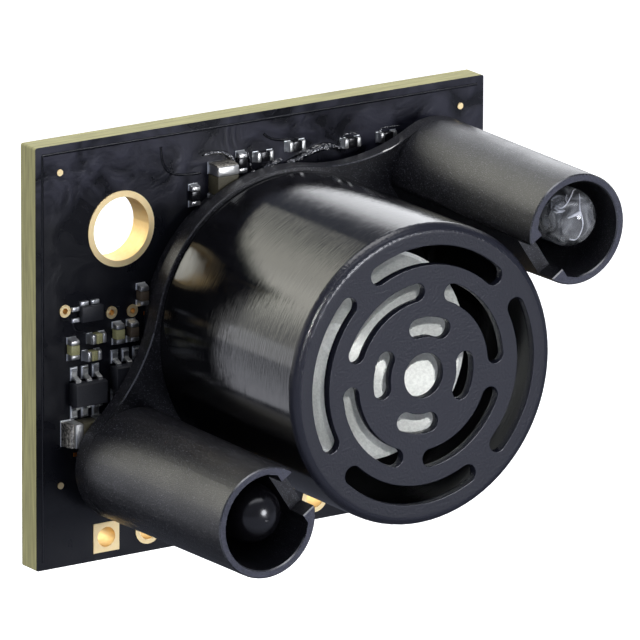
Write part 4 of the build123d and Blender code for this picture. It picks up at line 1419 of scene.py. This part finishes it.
class SENSOR_OT_leds(bpy.types.Operator):
    """Clear and dark LEDs on their lead frames"""

    bl_idname = "sensor.leds"
    bl_label = "LEDs"

    def execute(self, context):
        colours = context.scene.sensor_colours
        give(["emitter_led"], clear_epoxy(colours))
        give(["receiver_led"], dark_epoxy(colours))
        # Dies: polished crystal, grey and shiny
        give(
            ["emitter_die", "receiver_die"],
            speckled("polished_die", colours.die, depth=0.3, roughness=0.2, speck=0.05 * MM),
        )
        # Painted reflections on the clear dome, drawn as white lines
        routes = []
        for route in REFLECTION_LINES:
            points = []
            for dx, dz, share in route:
                depth = (DOME_RADIUS**2 - (dx * MM) ** 2 - (dz * MM) ** 2) ** 0.5
                spot = DOME_MIDDLE + Vector((dx * MM, -depth, dz * MM))
                points.append((*spot, share))
            routes.append(points)
        beads("painted_reflection_lines", routes, context.scene.sensor_sizes.reflection_stroke, None, reflection_line_paint(colours))
        return {"FINISHED"}


class SENSOR_OT_small_parts(bpy.types.Operator):
    """Capacitors, resistors and chips on both sides of the board"""

    bl_idname = "sensor.small_parts"
    bl_label = "Small parts"

    def execute(self, context):
        sizes, colours = context.scene.sensor_sizes, context.scene.sensor_colours
        ceramic = fired_ceramic(colours)
        # Resistors: black glaze, fired and glossy
        glaze = speckled("glazed_resistor", colours.glaze, depth=0.3, roughness=0.25, speck=0.2 * MM)
        # Chips: moulded epoxy with a fine filler, near black and satin
        epoxy = speckled("moulded_chip_epoxy", colours.chip, depth=0.35, roughness=0.5, speck=0.05 * MM)
        tin = tin_plating(colours)
        # Large capacitors: fired ceramic and satin, painted dark olive, partly their own tone and partly
        # painted shade
        bulk = speckled(
            "fired_bulk_ceramic_and_shade", colours.bulk_ceramic_and_shade, depth=0.3, roughness=0.45, speck=0.08 * MM
        )
        softened_copy("bulk_capacitors", "bulk_capacitors_fired", sizes.chip_edge, bulk)
        for node in ("small_capacitors", "back_capacitors"):
            softened_copy(node, node + "_fired", sizes.chip_edge, ceramic)
        for node in ("resistors", "back_resistors"):
            softened_copy(node, node + "_glazed", sizes.chip_edge, glaze)
        for node in ("six_leg_chips", "tiny_chip", "driver_chip", "controller_chip"):
            softened_copy(node, node + "_moulded", sizes.chip_edge, epoxy)
        for node in (
            "small_capacitor_ends",
            "bulk_capacitor_ends",
            "resistor_ends",
            "back_capacitor_ends",
            "back_resistor_ends",
        ):
            softened_copy(node, node + "_dipped", sizes.end_edge, tin)
        legs = ["six_leg_chip_legs", "tiny_chip_pads", "driver_chip_legs"]
        give(["transducer_pins", "emitter_frame", "receiver_frame", *legs], tin)
        give(["clock_can"], drawn_nickel(colours))
        return {"FINISHED"}


class SENSOR_OT_solder(bpy.types.Operator):
    """Joints on the back, and fillets, heaps and cushions of solder on the front"""

    bl_idname = "sensor.solder"
    bl_label = "Solder"

    def execute(self, context):
        sizes, colours = context.scene.sensor_sizes, context.scene.sensor_colours
        solder = reflowed_solder(colours)
        give(["solder_joints"], solder)
        fillets, heaps, cushions = end_solder(sizes)
        leg_fillets, leg_cushions = leg_solder(sizes)
        fillets += leg_fillets
        cushions += leg_cushions
        hollow = unit_block(all_round=False, width=0.92, segments=7, profile=0.2)
        placed_copies(hollow, "solder_fillets", fillets, solder)
        sloping = unit_block(all_round=False, width=0.8, segments=8, profile=0.42)
        placed_copies(sloping, "solder_heaps", heaps, tarnished_solder(colours))
        rounded = unit_block(all_round=True, width=0.22, segments=3, profile=0.5)
        placed_copies(rounded, "solder_cushions", cushions, solder)
        return {"FINISHED"}


class SENSOR_OT_coatings(bpy.types.Operator):
    """Adhesive and flux, masked traces and bare copper dots on the board's front"""

    bl_idname = "sensor.coatings"
    bl_label = "Adhesive and traces"

    def execute(self, context):
        sizes, colours = context.scene.sensor_sizes, context.scene.sensor_colours
        beads(
            "adhesive_beads",
            [[(x * MM, BOARD_FRONT, z * MM, share) for x, z, share in route] for route in ADHESIVE],
            sizes.adhesive_width,
            sizes.adhesive_height,
            set_adhesive(colours),
        )
        beads(
            "mask_covered_traces",
            [[(x * MM, BOARD_FRONT, z * MM, 1) for x, z in route] for route in TRACES],
            sizes.trace_width,
            sizes.trace_height,
            masked_traces(colours),
        )
        dots = [
            on_board(x * MM, z * MM, RIGHT, sizes.dot_width, sizes.dot_width, sizes.dot_height)
            for x, z in COPPER_DOTS
        ]
        rounded = unit_block(all_round=True, width=0.3, segments=3, profile=0.5)
        placed_copies(rounded, "bare_copper_dots", dots, bare_copper(colours))
        return {"FINISHED"}


class SENSOR_OT_stage(bpy.types.Operator):
    """Pale floor, white backdrop, soft lamps and the camera"""

    bl_idname = "sensor.stage"
    bl_label = "Stage"

    def execute(self, context):
        sizes = context.scene.sensor_sizes
        context.scene.view_settings.view_transform = "Standard"
        low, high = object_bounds()
        centre = (low + high) / 2
        bpy.ops.object.select_all(action="DESELECT")
        bpy.ops.mesh.primitive_plane_add(
            size=FLOOR_SIZE, location=(centre.x, centre.y, low.z - sizes.floor_drop)
        )
        floor = context.active_object
        floor.name = "floor"
        floor.data.materials.append(white_floor_paint())
        floor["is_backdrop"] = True
        context.scene.world = white_studio()

        # The key softbox is round, the others have four corners
        for name, turn, rise, away, width, height, brightness, tint in LAMPS:
            ray = ray_at(turn, rise)
            bpy.ops.object.select_all(action="DESELECT")
            bpy.ops.object.light_add(type="AREA", location=centre + ray * away)
            lamp = context.active_object
            lamp.name = name
            lamp.rotation_euler = (-ray).to_track_quat("-Z", "Y").to_euler()
            is_key = name == "key_softbox"
            lamp.data.shape = "ELLIPSE" if is_key else "RECTANGLE"
            lamp.data.size = width
            lamp.data.size_y = height
            lamp.data.energy = brightness * pi * width * height * (pi / 4 if is_key else 1)
            lamp.data.color = linear(tint)[:3]
            lamp.visible_camera = False
            lamp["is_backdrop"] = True

        # A snooted spot beside the camera lights the cone through the grille
        turn, rise, away, watts = GRILLE_SPOT
        aim = Vector((CAN_CENTRE.x, CAN_LOW.y, CAN_CENTRE.z))
        ray = ray_at(turn, rise)
        bpy.ops.object.select_all(action="DESELECT")
        bpy.ops.object.light_add(type="SPOT", location=aim + ray * away)
        spot = context.active_object
        spot.name = "grille_spot"
        spot.rotation_euler = (-ray).to_track_quat("-Z", "Y").to_euler()
        spot.data.energy = watts
        spot.data.spot_size = 2 * atan(CAN_RADIUS / away)
        spot.data.spot_blend = 0.15
        spot.data.shadow_soft_size = 0.004
        spot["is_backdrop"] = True

        # The photograph's view, from a long way off with a long lens
        bpy.ops.object.camera_add(location=CAMERA_PLACE)
        camera = context.active_object
        turn = Euler((0, 0, radians(CAMERA_TURN))).to_matrix()
        turn = turn @ Euler((radians(90 - CAMERA_TILT), 0, 0)).to_matrix()
        turn = turn @ Euler((0, 0, radians(CAMERA_ROLL))).to_matrix()
        camera.matrix_world = Matrix.Translation(camera.location) @ turn.to_4x4()
        camera.data.lens = CAMERA_LENS
        camera.data.sensor_width = 36
        camera.data.clip_start = 0.01
        camera.data.clip_end = 20
        context.scene.camera = camera
        return {"FINISHED"}


class SENSOR_PT_panel(bpy.types.Panel):
    """Lists the sensor's operators, sizes and colours"""

    bl_label = "Sensor"
    bl_idname = "SENSOR_PT_panel"
    bl_space_type = "VIEW_3D"
    bl_region_type = "UI"
    bl_category = "Sensor"

    def draw(self, context):
        layout = self.layout
        for operator in OPERATORS:
            layout.operator(operator.bl_idname)
        for group in (context.scene.sensor_sizes, context.scene.sensor_colours):
            for name in group.__annotations__:
                layout.prop(group, name)


OPERATORS = (
    SENSOR_OT_board,
    SENSOR_OT_holder,
    SENSOR_OT_transducer,
    SENSOR_OT_leds,
    SENSOR_OT_small_parts,
    SENSOR_OT_solder,
    SENSOR_OT_coatings,
    SENSOR_OT_stage,
)
CLASSES = (SensorSizes, SensorColours, *OPERATORS, SENSOR_PT_panel)


def register():
    for item in CLASSES:
        bpy.utils.register_class(item)
    bpy.types.Scene.sensor_sizes = PointerProperty(type=SensorSizes)
    bpy.types.Scene.sensor_colours = PointerProperty(type=SensorColours)


def unregister():
    del bpy.types.Scene.sensor_colours
    del bpy.types.Scene.sensor_sizes
    for item in reversed(CLASSES):
        bpy.utils.unregister_class(item)


def main():
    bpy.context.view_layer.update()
    register()
    for operator in OPERATORS:
        group, name = operator.bl_idname.split(".")
        getattr(getattr(bpy.ops, group), name)()


if __name__ == "__main__":
    main()
